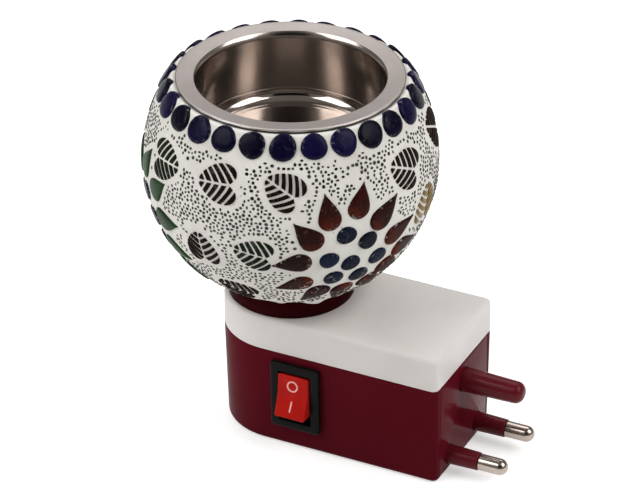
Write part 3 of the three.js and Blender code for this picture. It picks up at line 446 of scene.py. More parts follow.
maroonSheen = (1.0, 0.45, 0.5)
finishes = {
    "maroon": grained("maroonPlastic", (89, 18, 29), (82, 16, 26), (0.3, 0.42), 38, 1400, 0.006, gloss=0.016,
                      sheen=maroonSheen),
    "maroonGloss": grained("glossMaroon", (93, 18, 30), (86, 16, 27), (0.12, 0.18), 38, 900, 0.002, gloss=0.025,
                           sheen=maroonSheen),
    "maroonPin": grained("pinMaroon", (96, 22, 32), (88, 19, 28), (0.2, 0.32), 90, 1400, 0.006, gloss=0.12),
    # the collar's maroon is the case's plastic painted darker: painted shade from the globe above it
    "maroonPaintedShade": grained("maroonWithPaintedShade", (50, 10, 15), (44, 9, 13), (0.34, 0.44), 60, 1400, 0.012, gloss=0.004,
                          sheen=maroonSheen),
    "white": grained("whitePlastic", (229, 225, 222), (221, 216, 212), (0.3, 0.45), 40, 1500, 0.012,
                     gloss=0.14),
    "black": grained("blackPlastic", (15, 15, 14), (21, 20, 19), (0.3, 0.48), 120, 2200, 0.02, gloss=0.06),
    "red": grained("redPlastic", (183, 31, 24), (169, 25, 20), (0.2, 0.34), 160, 1800, 0.012, gloss=0.045),
    "mark": grained("markPaint", (244, 190, 180), (232, 170, 160), (0.4, 0.55), 500, 3000, 0.01),
    "nickel": grained("nickel", (182, 170, 160), (166, 154, 144), (0.15, 0.24), 180, 2600, 0.003, metal=1.0),
    "screwSteel": grained("screwSteel", (186, 184, 182), (160, 158, 156), (0.25, 0.4), 400, 2600, 0.01,
                          metal=1.0),
    "brass": grained("brass", (190, 152, 84), (160, 124, 62), (0.25, 0.42), 200, 2400, 0.012, metal=1.0),
    "resin": grained("brownResin", (46, 28, 22), (36, 22, 18), (0.4, 0.6), 120, 1800, 0.02),
    "wire": grained("wireSheath", (96, 46, 30), (80, 38, 24), (0.4, 0.55), 160, 2600, 0.02),
    "filament": grained("filament", (110, 106, 100), (84, 80, 76), (0.3, 0.5), 500, 3000, 0.01, metal=1.0),
    "glass": grained("clearGlass", (238, 243, 240), (228, 236, 232), (0.02, 0.05), 60, 300, 0.004, clear=0.82),
    "plaster": plasterFinish(),
    "steel": steelFinish(),
    "gemBlue": stained("navyGems", (4, 3, 16), (17, 11, 56), scuff=0.45, gloss=0.08),
    "dotBlue": stained("tealGlass", (5, 8, 20), (9, 24, 50), scuff=1.0, gloss=0.06),
    # the third colour of a glass is its painted glow of light through it
    "petalRed": stained("maroonGlass", (14, 5, 4), (48, 10, 7), (126, 46, 12), 0.42, 0.9, 0.055, 0.12),
    "petalGreen": stained("greenGlass", (15, 33, 15), (32, 64, 34), (34, 112, 52), 0.5, 0.4, 0.07, 0.12),
    "petalBlue": stained("blueGlass", (14, 30, 60), (36, 66, 112), (70, 110, 150), 0.3, 0.6),
    "leafBrown": stained("brownGlass", (15, 7, 6), (36, 15, 11), scuff=0.2, gloss=0.045, dull=0.3),
    "leafGreen": stained("leafGreenGlass", (13, 20, 11), (32, 46, 26), scuff=0.2, gloss=0.045, dull=0.3),
    "leafOlive": stained("oliveGlass", (104, 80, 28), (146, 118, 56), scuff=0.2),
    "bead": stained("beadGlass", (16, 14, 14), (84, 79, 76), scuff=0.0),
}
print("finishes made:", len(finishes))


def mount(piece, stands=(), body="base"):
    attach(piece, body)
    if stands:
        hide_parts(*stands)


def dress(piece, finish, stands=(), body="base"):
    piece.data.materials.clear()
    piece.data.materials.append(finishes[finish])
    mount(piece, stands, body)


# Plug base

base = {"depth": 38.6, "reach": 54.6, "seam": 31.0, "height": 41.3, "draft": 1.0, "wall": 2.0, "floor": 1.6,
        "footRound": 1.5, "corner": 2.0, "leastCorner": 0.3, "lidRound": 1.4, "lidRoof": 2.0, "seamEase": 0.3,
        "lampHole": 9.2, "lampHoleDeep": 6.0}
plate = {"back": 51.4, "half": 16.0, "foot": 1.5, "top": 30.7, "gap": 0.3, "ease": 0.22, "behind": 1.4,
         "groove": 1.6, "grooveOut": 0.9, "tongueOut": 0.6, "tongueNear": 0.15, "tongueFar": 1.45}
caseScrews = {"spots": [(31.0, -13.5), (31.0, 13.5), (-13.0, 0.0)], "boss": 3.4, "bossTop": 14, "recess": 2.5,
              "seat": 5.0}
switch = {"reach": 11.0, "height": 18.0, "width": 15.2, "tall": 21.6, "rise": 2.0, "lift": 0.3, "edge": 0.6,
          "corner": 0.9, "leastCorner": 0.4, "soft": 0.18, "bodyWidth": 13.0, "bodyTall": 19.4, "depth": 14.6,
          "pocketHalf": 5.0, "pocketTall": 8.3, "pocketFloor": 1.6, "pivot": 2.5, "play": 0.3, "opening": 4.0}


def basePlan(inset, reach, corner):
    half = base["depth"] / 2 - inset
    bend = max(corner, base["leastCorner"])
    return (arc(reach - bend, bend - half, bend, -90, 0, 8) + arc(reach - bend, half - bend, bend, 0, 90, 8)
            + arc(0, 0, half, 90, 270, 64))


def draftAt(z):
    return base["draft"] * (1 - z / base["seam"])


def caseLevel(z, inset, reach):
    return (basePlan(draftAt(z) + inset, reach, base["corner"] - inset), z)


lean = atan2(base["draft"], base["seam"])
switchFace = -(base["depth"] / 2 - draftAt(switch["height"]))
switchPlace = shifted(switch["reach"], switchFace, switch["height"]) @ Matrix.Rotation(lean, 4, "X")


def makeCase():
    bend, ease, reach, seam, wall = (base[k] for k in ("footRound", "seamEase", "reach", "seam", "wall"))
    levels = [caseLevel(bend - x, bend - y, reach - bend + y) for x, y in arc(0, 0, bend, 90, 0, 6)][::-1]
    levels += [caseLevel(seam - ease + y, ease - x, reach - ease + x) for x, y in arc(0, 0, ease, 0, 90, 4)]
    case = piled("caseShell", levels)
    over = seam + past
    back = plate["back"] - plate["behind"]
    carve(case, piled("hollow", [caseLevel(z, wall, back) for z in (base["floor"], over)]))
    bosses = [rod(x, y, caseScrews["boss"], base["floor"] / 2, caseScrews["bossTop"])
              for x, y in caseScrews["spots"]]
    carve(case, *bosses, way="UNION")
    side, foot = plate["half"] + plate["gap"], plate["foot"] - plate["gap"]
    tongue = side + plate["grooveOut"]
    window = block(back - past, reach + past, -side, side, foot, over)
    groove = block(plate["back"], plate["back"] + plate["groove"], -tongue, tongue, foot, over)
    wide, tall = (switch[k] / 2 + switch["play"] for k in ("bodyWidth", "bodyTall"))
    opening = moved(block(-wide, wide, -past, switch["opening"], -tall, tall), switchPlace)
    holes = [rod(x, y, caseScrews["recess"], -past, caseScrews["seat"]) for x, y in caseScrews["spots"]]
    carve(case, window, groove, opening, *holes)
    smooth(case, 32, turnOut=False)
    dress(case, "maroon", ["base_case"])


def lidLevel(z, inset):
    return (basePlan(inset, base["reach"] - inset, base["corner"] - inset), z)


def makeLid():
    ease, bend, seam, top = (base[k] for k in ("seamEase", "lidRound", "seam", "height"))
    levels = [lidLevel(seam + ease - x, ease - y) for x, y in arc(0, 0, ease, 0, 90, 4)]
    levels += [lidLevel(top - bend + y, bend - x) for x, y in arc(0, 0, bend, 0, 90, 8)]
    lid = piled("lidShell", levels)
    hollow = piled("hollow", [lidLevel(z, base["wall"]) for z in (seam - past, top - base["lidRoof"])])
    carve(lid, hollow, rod(0, 0, base["lampHole"], top - base["lampHoleDeep"], top + past, 64))
    smooth(lid, 32, turnOut=False)
    dress(lid, "white", ["lid"])


# the pins' rims sit behind the plate and hold them there
pins = {"spacing": 19.0, "height": 5.2, "radius": 2.4, "length": 18.0, "bare": 8.4, "core": 1.5, "tail": 39.9,
        "rimBack": 46.9, "rimFront": 48.1, "ease": 0.2, "play": 0.15, "sides": 56}
sleeves = {"foot": 2.85, "end": 2.65, "ease": 0.35, "rim": 0.9, "deep": 1.7}
earth = {"rise": 19.7, "length": 18.5, "foot": 3.6, "end": 3.2, "round": 0.8, "rim": 1.4, "deep": 3.2}


def makePlate():
    front, back, half = base["reach"], plate["back"], plate["half"]
    out, near, far = half + plate["tongueOut"], back + plate["tongueNear"], back + plate["tongueFar"]
    outline = [(back, -half), (near, -half), (near, -out), (far, -out), (far, -half), (front, -half),
               (front, half), (far, half), (far, out), (near, out), (near, half), (back, half)]
    face = piled("plugFace", [(outline, plate["foot"]), (outline, plate["top"])])
    soften(face, plate["ease"])
    holes = [(side * pins["spacing"] / 2, pins["height"], sleeves["foot"]) for side in (-1, 1)]
    holes.append((0, pins["height"] + earth["rise"], earth["foot"]))
    carve(face, *[moved(rod(0, 0, radius + pins["play"], back - past, front + past, pins["sides"]),
                        shifted(0, y, z) @ alongX) for y, z, radius in holes])
    smooth(face, 32, turnOut=False)
    dress(face, "maroonGloss", ["pin_plate"])


def stem(sizes, bore):
    # the outline of a sleeve or pin, from its rim behind the plate to the plate's face
    foot, wide = sizes["foot"], sizes["foot"] + sizes["rim"]
    low, seat = plate["back"] - sizes["deep"], plate["back"] - plate["gap"]
    return [(bore, low), (wide, low), (wide, seat), (foot, seat), (foot, base["reach"])]


def makePin(name, shape, y, z, finish, node, closed=False):
    pin = smooth(turned(name, shape, pins["sides"], closed), 40)
    dress(moved(pin, shifted(0, y, z) @ alongX), finish, [node])


def makePins():
    tip = base["reach"] + pins["length"]
    bare, core, wide, ease = tip - pins["bare"], pins["core"], pins["radius"], pins["ease"]
    prong = [(0, pins["tail"]), (core, pins["tail"]), (core, pins["rimBack"]), (wide, pins["rimBack"]),
             (wide, pins["rimFront"]), (core, pins["rimFront"]), (core, bare), (wide - ease, bare),
             (wide, bare + ease), *arc(0, tip - wide, wide, 0, 90, 12)[:-1], (0, tip)]
    end, bore, bend = bare - pins["play"], core + pins["play"], sleeves["ease"]
    sleeve = stem(sleeves, bore) + arc(sleeves["end"] - bend, end - bend, bend, 0, 90, 5) + [(bore, end)]
    for label, side in (("line", -1), ("neutral", 1)):
        y, z, node = side * pins["spacing"] / 2, pins["height"], label + "_pin"
        makePin(label + "Prong", prong, y, z, "nickel", node)
        makePin(label + "Sleeve", sleeve, y, z, "maroonPin", node + "_sleeve", closed=True)
    end, thin, bend = base["reach"] + earth["length"], earth["end"], earth["end"] * earth["round"]
    shape = stem(earth, 0) + arc(thin - bend, end - bend, bend, 0, 90, 12) + [(0, end)]
    makePin("earthProng", shape, 0, pins["height"] + earth["rise"], "maroonPin", "earth_pin")


makeCase()
makeLid()
makePlate()
makePins()
print("plug base made")


# Rocker switch, drawn about the middle of its face: -Y is out of the case

rocker = {"half": 4.7, "rise": 6.0, "face": 6.6, "vee": 8.0, "throw": 28.0, "ease": 0.4, "hollow": 0.7,
          "steps": 24, "skirt": 1.2, "skirtShare": 0.85, "stemHalf": 1.9, "stemTop": 0.6, "stemFoot": 4.4}
marks = {"ring": 1.5, "stroke": 0.22, "ringUp": 3.3, "bar": 1.65, "barDown": 2.9, "barTilt": -4.0, "lift": 0.06,
         "sunk": 0.2, "around": 48}


def bezelPlan(inset):
    bend = max(switch["corner"] - inset, switch["leastCorner"])
    x, y = switch["width"] / 2 - inset - bend, switch["tall"] / 2 - inset - bend
    corners = [(x, -y, -90), (x, y, 0), (-x, y, 90), (-x, -y, 180)]
    return [p for cx, cy, turn in corners for p in arc(cx, cy, bend, turn, turn + 90, 6)]


def makeSwitch():
    edge, rise, depth = switch["edge"], switch["rise"], switch["depth"]
    levels = [(bezelPlan(0), switch["lift"])]
    levels += [(bezelPlan(edge - x), rise - edge + y) for x, y in arc(0, 0, edge, 0, 90, 5)]
    housing = moved(piled("switchFrame", levels), facingFront)
    x, z = switch["bodyWidth"] / 2, switch["bodyTall"] / 2
    carve(housing, block(-x, x, -past, depth, -z, z), way="UNION")
    wide, tall = switch["pocketHalf"], switch["pocketTall"]
    carve(housing, block(-wide, wide, -rise - past, depth - switch["pocketFloor"], -tall, tall))
    soften(housing, switch["soft"], 2, 60)
    smooth(housing, 32, turnOut=False)
    dress(moved(housing, switchPlace), "black", ["switch_housing"])


def rockerFace(z):
    # how far out the rocker's face is, at a height from its middle
    slope, soft = tan(radians(rocker["vee"])), rocker["hollow"]
    return -(rocker["rise"] + slope * (sqrt(z * z + soft * soft) - soft))


def makeRocker(place):
    end, steps, half = rocker["face"] * cos(radians(rocker["vee"])), rocker["steps"], rocker["half"]
    heights = [end - 2 * end * i / steps for i in range(steps + 1)]
    under = [(-rocker["skirt"], rocker["skirtShare"] * end), (rocker["stemTop"], rocker["stemHalf"]),
             (rocker["stemFoot"], rocker["stemHalf"])]
    outline = [(rockerFace(z), z) for z in heights] + [(x, -z) for x, z in under] + under[::-1]
    key = moved(piled("rockerKey", [(outline, -half), (outline, half)]), alongX)
    soften(key, rocker["ease"], 3, 35)
    smooth(key, 40)
    dress(moved(key, place), "red", ["rocker"], "rocker")


def makeMarks(place):
    # the ring of the off mark is a closed band, and the bar of the on mark has round ends
    stroke, tall, around = marks["stroke"], marks["bar"], marks["around"]
    low, high = -marks["sunk"], marks["lift"]
    points = []
    for i in range(around):
        t = 2 * pi * i / around
        for side, up in ((-1, low), (1, low), (1, high), (-1, high)):
            r = marks["ring"] + side * stroke
            points.append((r * cos(t), marks["ringUp"] + r * sin(t), up))
    rings = ringsOf(0, 4, around)
    faces = [face for i in range(around) for face in band(rings[i], rings[i - 1])]
    tilt = radians(marks["barTilt"])
    ends = arc(0, tall - stroke, stroke, 0, 180, 8) + arc(0, stroke - tall, stroke, 180, 360, 8)
    ends = [(x * cos(tilt) - z * sin(tilt), x * sin(tilt) + z * cos(tilt)) for x, z in ends]
    lower, upper = ringsOf(len(points), len(ends), 2)
    points += [(x, z - marks["barDown"], up) for up in (low, high) for x, z in ends]
    faces += [lower, upper, *band(lower, upper)]
    paint = pieceFrom("rockerMarks", [(x, rockerFace(z) - up, z) for x, z, up in points], faces)
    dress(moved(smooth(paint, 40), place), "mark", body="rocker")


makeSwitch()
rockerTurn = Matrix.Rotation(-radians(rocker["throw"] / 2), 4, "X")
rockerPlace = switchPlace @ shifted(0, switch["pivot"], 0) @ rockerTurn
makeRocker(rockerPlace)
makeMarks(rockerPlace)
print("switch made")


# Collar, globe and cup

globe = {"radius": 41.6, "middle": 84.377, "bottom": 47.9, "top": 109.041, "inner": 40.3, "sides": 192,
         "edge": 0.5, "mouthBend": 0.28, "mouthIn": 0.75, "innerDrop": 0.2, "innerRise": 0.1, "footIn": 0.45,
         "skin": 0.15, "lump": 0.10, "lumpSize": 9.0, "hem": 1.1, "hemTall": 2.6, "hemSize": 4.0}
glassBowl = {"outer": 40.0, "inner": 36.7, "hole": 13.0, "top": 108.65, "sides": 96}
collar = {"bore": 10.9, "foot": 18.1, "top": 19.2, "spigot": 12.7, "spigotRise": 3.0, "ease": 0.35,
          "sides": 128}
cup = {"flange": 32.2, "top": 110.041, "sheet": 0.7, "wall": 26.08, "taper": 0.9, "depth": 21.0, "lip": 1.1,
       "fold": 0.35, "dish": 0.3, "flare": 2.0, "foot": 3.4, "step": 0.4, "rim": 0.6, "lipOut": 0.15,
       "neckOut": 0.5, "neckDrop": 1.6, "neckBend": 0.9, "creep": 0.06, "creepTop": 0.5, "creepFoot": 0.1,
       "sides": 176}
heart = Vector((0, 0, globe["middle"] * mm))


def globeArc(radius, z0, z1, steps):
    turns = [degrees(asin((z - globe["middle"]) / radius)) for z in (z0, z1)]
    return arc(0, globe["middle"], radius, *turns, steps)


def makeCollar():
    low, high, ease = base["height"], globe["bottom"], collar["ease"]
    slope = (collar["top"] - collar["foot"]) / (high - low)
    spigotTop = high + collar["spigotRise"]
    shape = [(collar["bore"], low), (collar["foot"] - ease, low), (collar["foot"] + slope * ease, low + ease),
             (collar["top"] - slope * ease, high - ease), (collar["top"] - ease, high),
             (collar["spigot"], high), (collar["spigot"], spigotTop), (collar["bore"], spigotTop)]
    ring = smooth(turned("collarRing", shape, collar["sides"], closed=True), 50)
    # its darker maroon is painted shade under the globe
    dress(ring, "maroonPaintedShade", ["collar"])


def makeGlass():
    hole = globe["middle"] - sqrt(glassBowl["inner"] ** 2 - glassBowl["hole"] ** 2)
    shape = [(glassBowl["hole"], globe["bottom"])]
    shape += globeArc(glassBowl["outer"], globe["bottom"], glassBowl["top"], 40)
    shape += globeArc(glassBowl["inner"], glassBowl["top"], hole, 40)
    bowl = smooth(turned("glassBowl", shape, glassBowl["sides"], closed=True), 40)
    dress(bowl, "glass", ["glass_bowl"])


def makePlaster():
    radius, top, bottom, edge, bend = (globe[k] for k in ("radius", "top", "bottom", "edge", "mouthBend"))
    shape = globeArc(radius, bottom + edge, top - edge, 84)
    mouth = shape[-1][0]
    shape += [(mouth - bend, top - edge * bend), (mouth - globe["mouthIn"], top)]
    shape += globeArc(globe["inner"], top - globe["innerDrop"], bottom + globe["innerRise"], 28)
    shape += [(globeArc(radius, bottom, top, 1)[0][0] - globe["footIn"], bottom)]
    plaster = smooth(turned("plasterGlobe", shape, globe["sides"], closed=True), 60)
    # hand-smoothed lumps, and an uneven lower edge
    for corner in plaster.data.vertices:
        out = corner.co - heart
        if out.length > (radius - globe["skin"]) * mm:
            wave = noise.noise(corner.co * (1000 / globe["lumpSize"])) * globe["lump"] * mm
            corner.co += out.normalized() * wave
            hem = 1 - (corner.co.z / mm - bottom) / globe["hemTall"]
            if hem > 0:
                drip = noise.noise(corner.co * (1000 / globe["hemSize"])) * hem * globe["hem"] * mm
                corner.co += Vector((out.x, out.y, 0)).normalized() * drip - Vector((0, 0, drip))
    dress(plaster, "plaster", ["mosaic_coat"])


def makeCup():
    top, sheet, wall, dish, bend = (cup[k] for k in ("top", "sheet", "wall", "dish", "foot"))
    floor, lipAt, lipTop = top - cup["depth"], wall + cup["lip"], top - dish
    wallFoot, footIn = floor + bend, wall - cup["taper"]
    footAt = footIn - cup["step"] - bend
    # the underside out to the flange's edge
    shape = [(0, floor - sheet), *arc(footAt, wallFoot, bend + sheet, -90, 0, 12),
             (footIn + sheet, wallFoot + sheet)]
    shape += arc(lipAt + cup["neckOut"], lipTop - cup["neckDrop"], cup["neckBend"], 180, 90, 8)
    shape += arc(cup["flange"] - sheet / 2, top - sheet / 2, sheet / 2, -90, 90, 8)
    # back over the flange, which falls a little to its lip, and down the wall
    rimAt, lipEnd = cup["flange"] - cup["rim"], lipAt + cup["lipOut"]
    shape += [(rimAt + (lipEnd - rimAt) * share, top - dish * share) for share in (0, 0.06, 0.5, 0.94, 1)]
    shape += arc(lipAt, lipTop - cup["fold"], cup["fold"], 90, 135, 5)
    flareAt, flareTop = shape[-1]
    shape += [(wall + (flareAt - wall) * (1 - i / 10) ** 2, flareTop - cup["flare"] * i / 10)
              for i in range(1, 11)]
    shape += [(footIn + cup["creep"], wallFoot + cup["creepTop"]), (footIn, wallFoot + cup["creepFoot"]),
              (footIn - cup["step"] / 2, wallFoot), *arc(footAt, wallFoot, bend, 0, -90, 16), (0, floor)]
    dress(smooth(turned("steelCup", shape, cup["sides"]), 50), "steel", ["cup"], "cup")


makeCollar()
makeGlass()
makePlaster()
makeCup()
print("globe and cup made")


# Mosaic

gems = {"count": 26, "first": 2.0, "wide": 7.7, "tall": 8.0, "rise": 0.95, "over": 0.8, "mouth": 33.5,
        "sides": 24}
flowers = {"dotRing": 8.1, "dotTurn": -6.0, "dotSize": 5.8, "dotRise": 0.65, "dotSides": 20, "petalRing": 17.8,
           "petalLong": 11.6, "petalWide": 6.9, "petalRise": 0.6, "belly": 0.42, "swell": 1.6, "point": 1.28}
flowerSpots = [(-38, -18, 26, "petalRed"), (78, -18, 10, "petalBlue"), (-144, -20, -12, "petalGreen")]
# how far each dot and petal sits off its even place: degrees, outwards, and a petal's own twist
middlePlay = (150, 1.5)
dotPlay = [(-2, 1.8), (7, -1.2), (-4, 0.1), (1, 0.4), (5, 0.3), (1, -0.6)]
petalPlay = [(0, 1.6, -16), (0, 1.5, -18), (-2, -1.5, -13), (-10, -1.8, 0), (-9, 2.0, 0), (-2, 0.0, 0),
             (3, 0.5, 0), (3, -0.4, 0), (6, 0.4, 0), (7, 0.7, 0), (5, 0.0, 17), (-1, 0.0, -7)]
leaves = {"long": 11.6, "wide": 11.5, "rib": 0.7, "vein": 0.86, "stripe": 1.24, "lobe": 1.66, "slant": 26.0,
          "curve": 0.045, "rise": 0.35, "least": 0.6, "fine": 0.9}
# half a leaf's edge, from the notch at its stalk to its tip
leafEdge = [(0.0, -0.7), (0.3, -0.97), (0.66, -0.97), (0.92, -0.72), (1.0, -0.32), (0.9, 0.1), (0.66, 0.48),
            (0.34, 0.8), (0.0, 1.0)]
leafSpots = {
    "leafBrown": [(-94, 15, 95), (-67, 16, 57), (-13, 14, 62), (18, 17, 60), (103, 16, 70), (158, 16, 60),
                  (-102, -16, 5), (26, -14, 100), (120, -12, 20), (-92, -40, 60), (134, -42, 90)],
    "leafGreen": [(-122, 14, -85), (-79, -13, 79), (46, 16, -70), (130, 15, 100), (190, 15, 80), (146, -10, 90),
                  (12, -42, 90)],
    "leafOlive": [(1.5, -7, -5), (172, -13, -20), (163, -42, 90)],
}
# seed, play of the turn, least and most size
tilePlay = {"gem": (3, 3.1, 0.93, 1.03), "petal": (5, 0.08, 0.95, 1.04), "dot": (7, 3.0, 0.95, 1.04),
            "leaf": (9, 0.03, 0.95, 1.04)}
# a tile's sides and crown: share of its outline, and of its rise or of its depth in the plaster
pillowed = [(1.0, -1.0), (1.0, 0.25), (0.95, 0.62), (0.87, 0.84), (0.68, 0.95), (0.4, 1.0), (0.18, 1.0)]
chipped = [(1.0, -1.0), (1.0, 0.55), (0.9, 1.0)]
tileSunk = 0.8
wobble = 0.03
beads = {"apart": 1.12, "density": 16000000.0, "small": 0.6, "large": 1.18, "size": 0.51, "sides": 6,
         "sunk": 0.3, "footShare": 0.9, "edge": 0.06, "rise": 0.26, "clearLow": 0.85, "clearHigh": 2.3,
         "clearScale": 150.0, "clearNoise": (0.35, 0.65), "fieldLow": 0.27, "fieldHigh": 0.38,
         "fieldScale": 95.0, "lowest": 2.6, "full": 6.5, "highest": 1.0, "bare": 17.5, "seed": 11}


def onSphere(longitude, latitude):
    lon, lat = radians(longitude), radians(latitude)
    return Vector((cos(lat) * cos(lon), cos(lat) * sin(lon), sin(lat)))


def onGlobe(out):
    return Vector((0, 0, globe["middle"])) + out * globe["radius"]


def compass(out):
    east = Vector((-out.y, out.x, 0)).normalized()
    return east, out.cross(east)


def fromFlower(longitude, latitude, turn, distance, twist=0):
    # a spot some way from a flower's middle, and the way out at that spot
    out = onSphere(longitude, latitude)
    east, north = compass(out)
    t, bend = radians(turn), distance / globe["radius"]
    way = north * cos(t) - east * sin(t)
    spot = out * cos(bend) + way * sin(bend)
    outward = way * cos(bend) - out * sin(bend)
    east, north = compass(spot)
    return spot, atan2(-outward.dot(east), outward.dot(north)) + radians(twist)


def bentTile(name, plans, rise, profile, long):
    # pieces of glass drawn flat about their middle and bent to the globe
    points, faces, rims, alongs = [], [], [], []
    radius = globe["radius"]
    for plan in plans:
        count = len(plan)
        mx, my = sum(x for x, y in plan) / count, sum(y for x, y in plan) / count
        rings = ringsOf(len(points), count, len(profile))
        for share, height in profile:
            lift = radius + height * (rise if height > 0 else tileSunk)
            for x, y in plan:
                px, py = mx + (x - mx) * share, my + (y - my) * share
                flat = hypot(px, py)
                turn = flat / radius
                side = sin(turn) / flat if flat > tiny else 0
                points.append((px * side * lift, py * side * lift, cos(turn) * lift - radius))
                rims.append(share)
                alongs.append(2 * py / long)
        for low, high in zip(rings, rings[1:]):
            faces += band(low, high)
        faces += [rings[0][::-1], rings[-1]]
    tile = pieceFrom(name, points, faces)
    for label, values in (("rim", rims), ("along", alongs)):
        tile.data.attributes.new(label, "FLOAT", "POINT").data.foreach_set("value", values)
    shade(tile.data, 55)
    return tile


def roundPlan(wide, tall, sides):
    # not quite round, as chipped by hand
    plan = []
    for i in range(sides):
        t = 2 * pi * i / sides
        swell = 1 + wobble * cos(3 * t + 0.7) + wobble * 0.6 * cos(2 * t - 0.4)
        plan.append((wide / 2 * cos(t) * swell, tall / 2 * sin(t) * swell))
    return plan


def petalPlan():
    # a drop: round at the inner end, drawn out to a point
    wide, long, belly = flowers["petalWide"] / 2, flowers["petalLong"] / 2, flowers["belly"]
    side = [(cos(t) * wide, -belly * long + sin(t) * (1 - belly) * long)
            for t in [radians(-90 + 12.8 * i) for i in range(1, 8)]]
    for i in range(1, 9):
        t = i / 9
        side.append((wide * (1 - t ** flowers["swell"]) ** flowers["point"], (-belly + (1 + belly) * t) * long))
    return [(0, -long)] + side + [(0, long)] + [(-x, y) for x, y in side[::-1]]


def clipped(plan, level, keepAbove):
    # keeps the part of an outline above or below a level
    kept = []
    for (x0, y0), (x1, y1) in zip(plan, plan[1:] + plan[:1]):
        a, b = (y0 - level, y1 - level) if keepAbove else (level - y0, level - y1)
        if a >= 0:
            kept.append((x0, y0))
        if (a >= 0) != (b >= 0):
            share = a / (a - b)
            kept.append((x0 + (x1 - x0) * share, y0 + (y1 - y0) * share))
    return kept


def eased(before, a, b, after, t):
    # a smooth curve from a to b that heeds the points on both sides
    bend = 2 * before - 5 * a + 4 * b - after
    return 0.5 * (2 * a + (b - before) * t + bend * t * t + (3 * a - before - 3 * b + after) * t ** 3)


def leafPlans():
    # curved strips of glass on both sides of a bare midrib, with a broad one in each lobe
    wide, long, rib = leaves["wide"] / 2, leaves["long"] / 2, leaves["rib"] / 2
    slope, tall = tan(radians(leaves["slant"])), 1 / cos(radians(leaves["slant"]))
    knots = leafEdge[:1] + leafEdge + leafEdge[-1:]
    edge = [tuple(eased(*[knot[k] for knot in knots[i:i + 4]], step / 4) for k in (0, 1))
            for i in range(len(leafEdge) - 1) for step in range(4)] + leafEdge[-1:]

    def sweep(x):
        return slope * x + leaves["curve"] * x * x

    half = [(rib + x * (wide - rib), y * long) for x, y in edge]
    leant = [(x, y - sweep(x)) for x, y in half]
    level, thick = min(y for x, y in leant), leaves["lobe"] * tall
    plans = []
    while level < long:
        strip = clipped(clipped(leant, level, True), level + thick, False)
        if len(strip) > 2 and max(x for x, y in strip) - min(x for x, y in strip) > leaves["least"]:
            fine = []
            for (x0, y0), (x1, y1) in zip(strip, strip[1:] + strip[:1]):
                parts = max(1, round(abs(x1 - x0) / leaves["fine"]))
                fine += [(x0 + (x1 - x0) * i / parts, y0 + (y1 - y0) * i / parts) for i in range(parts)]
            plan = [(x, y + sweep(x)) for x, y in fine]
            plans += [plan, [(-x, y) for x, y in plan][::-1]]
        level += thick + leaves["vein"] * tall
        thick = leaves["stripe"] * tall
    return plans


def growingTree(name, takes):
    gives = {"Geometry": ["Geometry"]}
    return newTree("GeometryNodeTree", name, {**gives, **takes, "Int": ["Seed"], "Material": ["Finish"]}, gives)


def grow(piece, tree, values):
    step = piece.modifiers.new(tree.name, "NODES")
    step.node_group = tree
    for item in tree.interface.items_tree:
        if item.item_type == "SOCKET" and item.in_out == "INPUT" and item.name in values:
            step[item.identifier] = values[item.name]
    settle(piece)


def addRandom(tree, low, high, seed):
    return addNode(tree, "FunctionNodeRandomValue", {2: low, 3: high, 8: seed}, data_type="FLOAT").outputs[1]


def randomSize(tree, given, firstSeed, axes):
    size = addNode(tree, "ShaderNodeCombineXYZ", {2: 1.0})
    for axis in range(axes):
        seed = plus(tree, given["Seed"], firstSeed + axis)
        feed(tree, size, {axis: addRandom(tree, given["Size Low"], given["Size High"], seed)})
    return size.outputs[0]


def shapeOf(tree, thing):
    return addNode(tree, "GeometryNodeObjectInfo", {"Object": thing}).outputs["Geometry"]


def nearer(tree, thing, element, distance):
    near = addNode(tree, "GeometryNodeProximity", {"Target": shapeOf(tree, thing)}, target_element=element)
    return addMath(tree, "LESS_THAN", near.outputs["Distance"], distance)


def faceAlong(tree, feeds, **settings):
    return addNode(tree, "FunctionNodeAlignRotationToVector", feeds, **settings).outputs[0]


def lookOut(tree, middle):
    # a rotation that looks out of the globe, with north up
    place = tree.nodes.new("GeometryNodeInputPosition").outputs[0]
    away = addNode(tree, "ShaderNodeVectorMath", {0: place, 1: middle}, operation="SUBTRACT").outputs[0]
    face = faceAlong(tree, {"Vector": away}, axis="Z")
    return faceAlong(tree, {"Vector": (0, 0, 1), "Rotation": face}, axis="Y", pivot_axis="Z")


def spun(tree, facing, angle):
    # turns a rotation about its own Z
    spin = addNode(tree, "FunctionNodeAxisAngleToRotation", {"Axis": (0, 0, 1), "Angle": angle}).outputs[0]
    feeds = {"Rotation": facing, "Rotate By": spin}
    return addNode(tree, "FunctionNodeRotateRotation", feeds, rotation_space="LOCAL").outputs[0]


def plant(tree, given, out, points, thing, facing, size):
    # sets copies on points: each keeps its own shade, then the copies become one mesh
    copies = addNode(tree, "GeometryNodeInstanceOnPoints", {
        "Points": points, "Instance": shapeOf(tree, thing), "Rotation": facing, "Scale": size}).outputs[0]
    tone = addRandom(tree, 0.0, 1.0, plus(tree, given["Seed"], 9))
    feeds = {"Geometry": copies, "Name": "shade", "Value": tone}
    marked = addNode(tree, "GeometryNodeStoreNamedAttribute", feeds, data_type="FLOAT",
                     domain="INSTANCE").outputs[0]
    real = addNode(tree, "GeometryNodeRealizeInstances", {"Geometry": marked}).outputs[0]
    paint = addNode(tree, "GeometryNodeSetMaterial", {"Geometry": real, "Material": given["Finish"]})
    feed(tree, out, {"Geometry": paint.outputs[0]})
    return tree


def buildSetTree():
    tree, given, out = growingTree("setOnGlobe", {
        "Object": ["Tile"], "Vector": ["Middle"], "Float": ["Turn Play", "Size Low", "Size High"]})
    turn = addNode(tree, "GeometryNodeInputNamedAttribute", {"Name": "turn"}, data_type="FLOAT").outputs[0]
    play = times(tree, addRandom(tree, -1.0, 1.0, given["Seed"]), given["Turn Play"])
    facing = spun(tree, lookOut(tree, given["Middle"]), plus(tree, turn, play))
    return plant(tree, given, out, given["Geometry"], given["Tile"], facing, randomSize(tree, given, 3, 2))


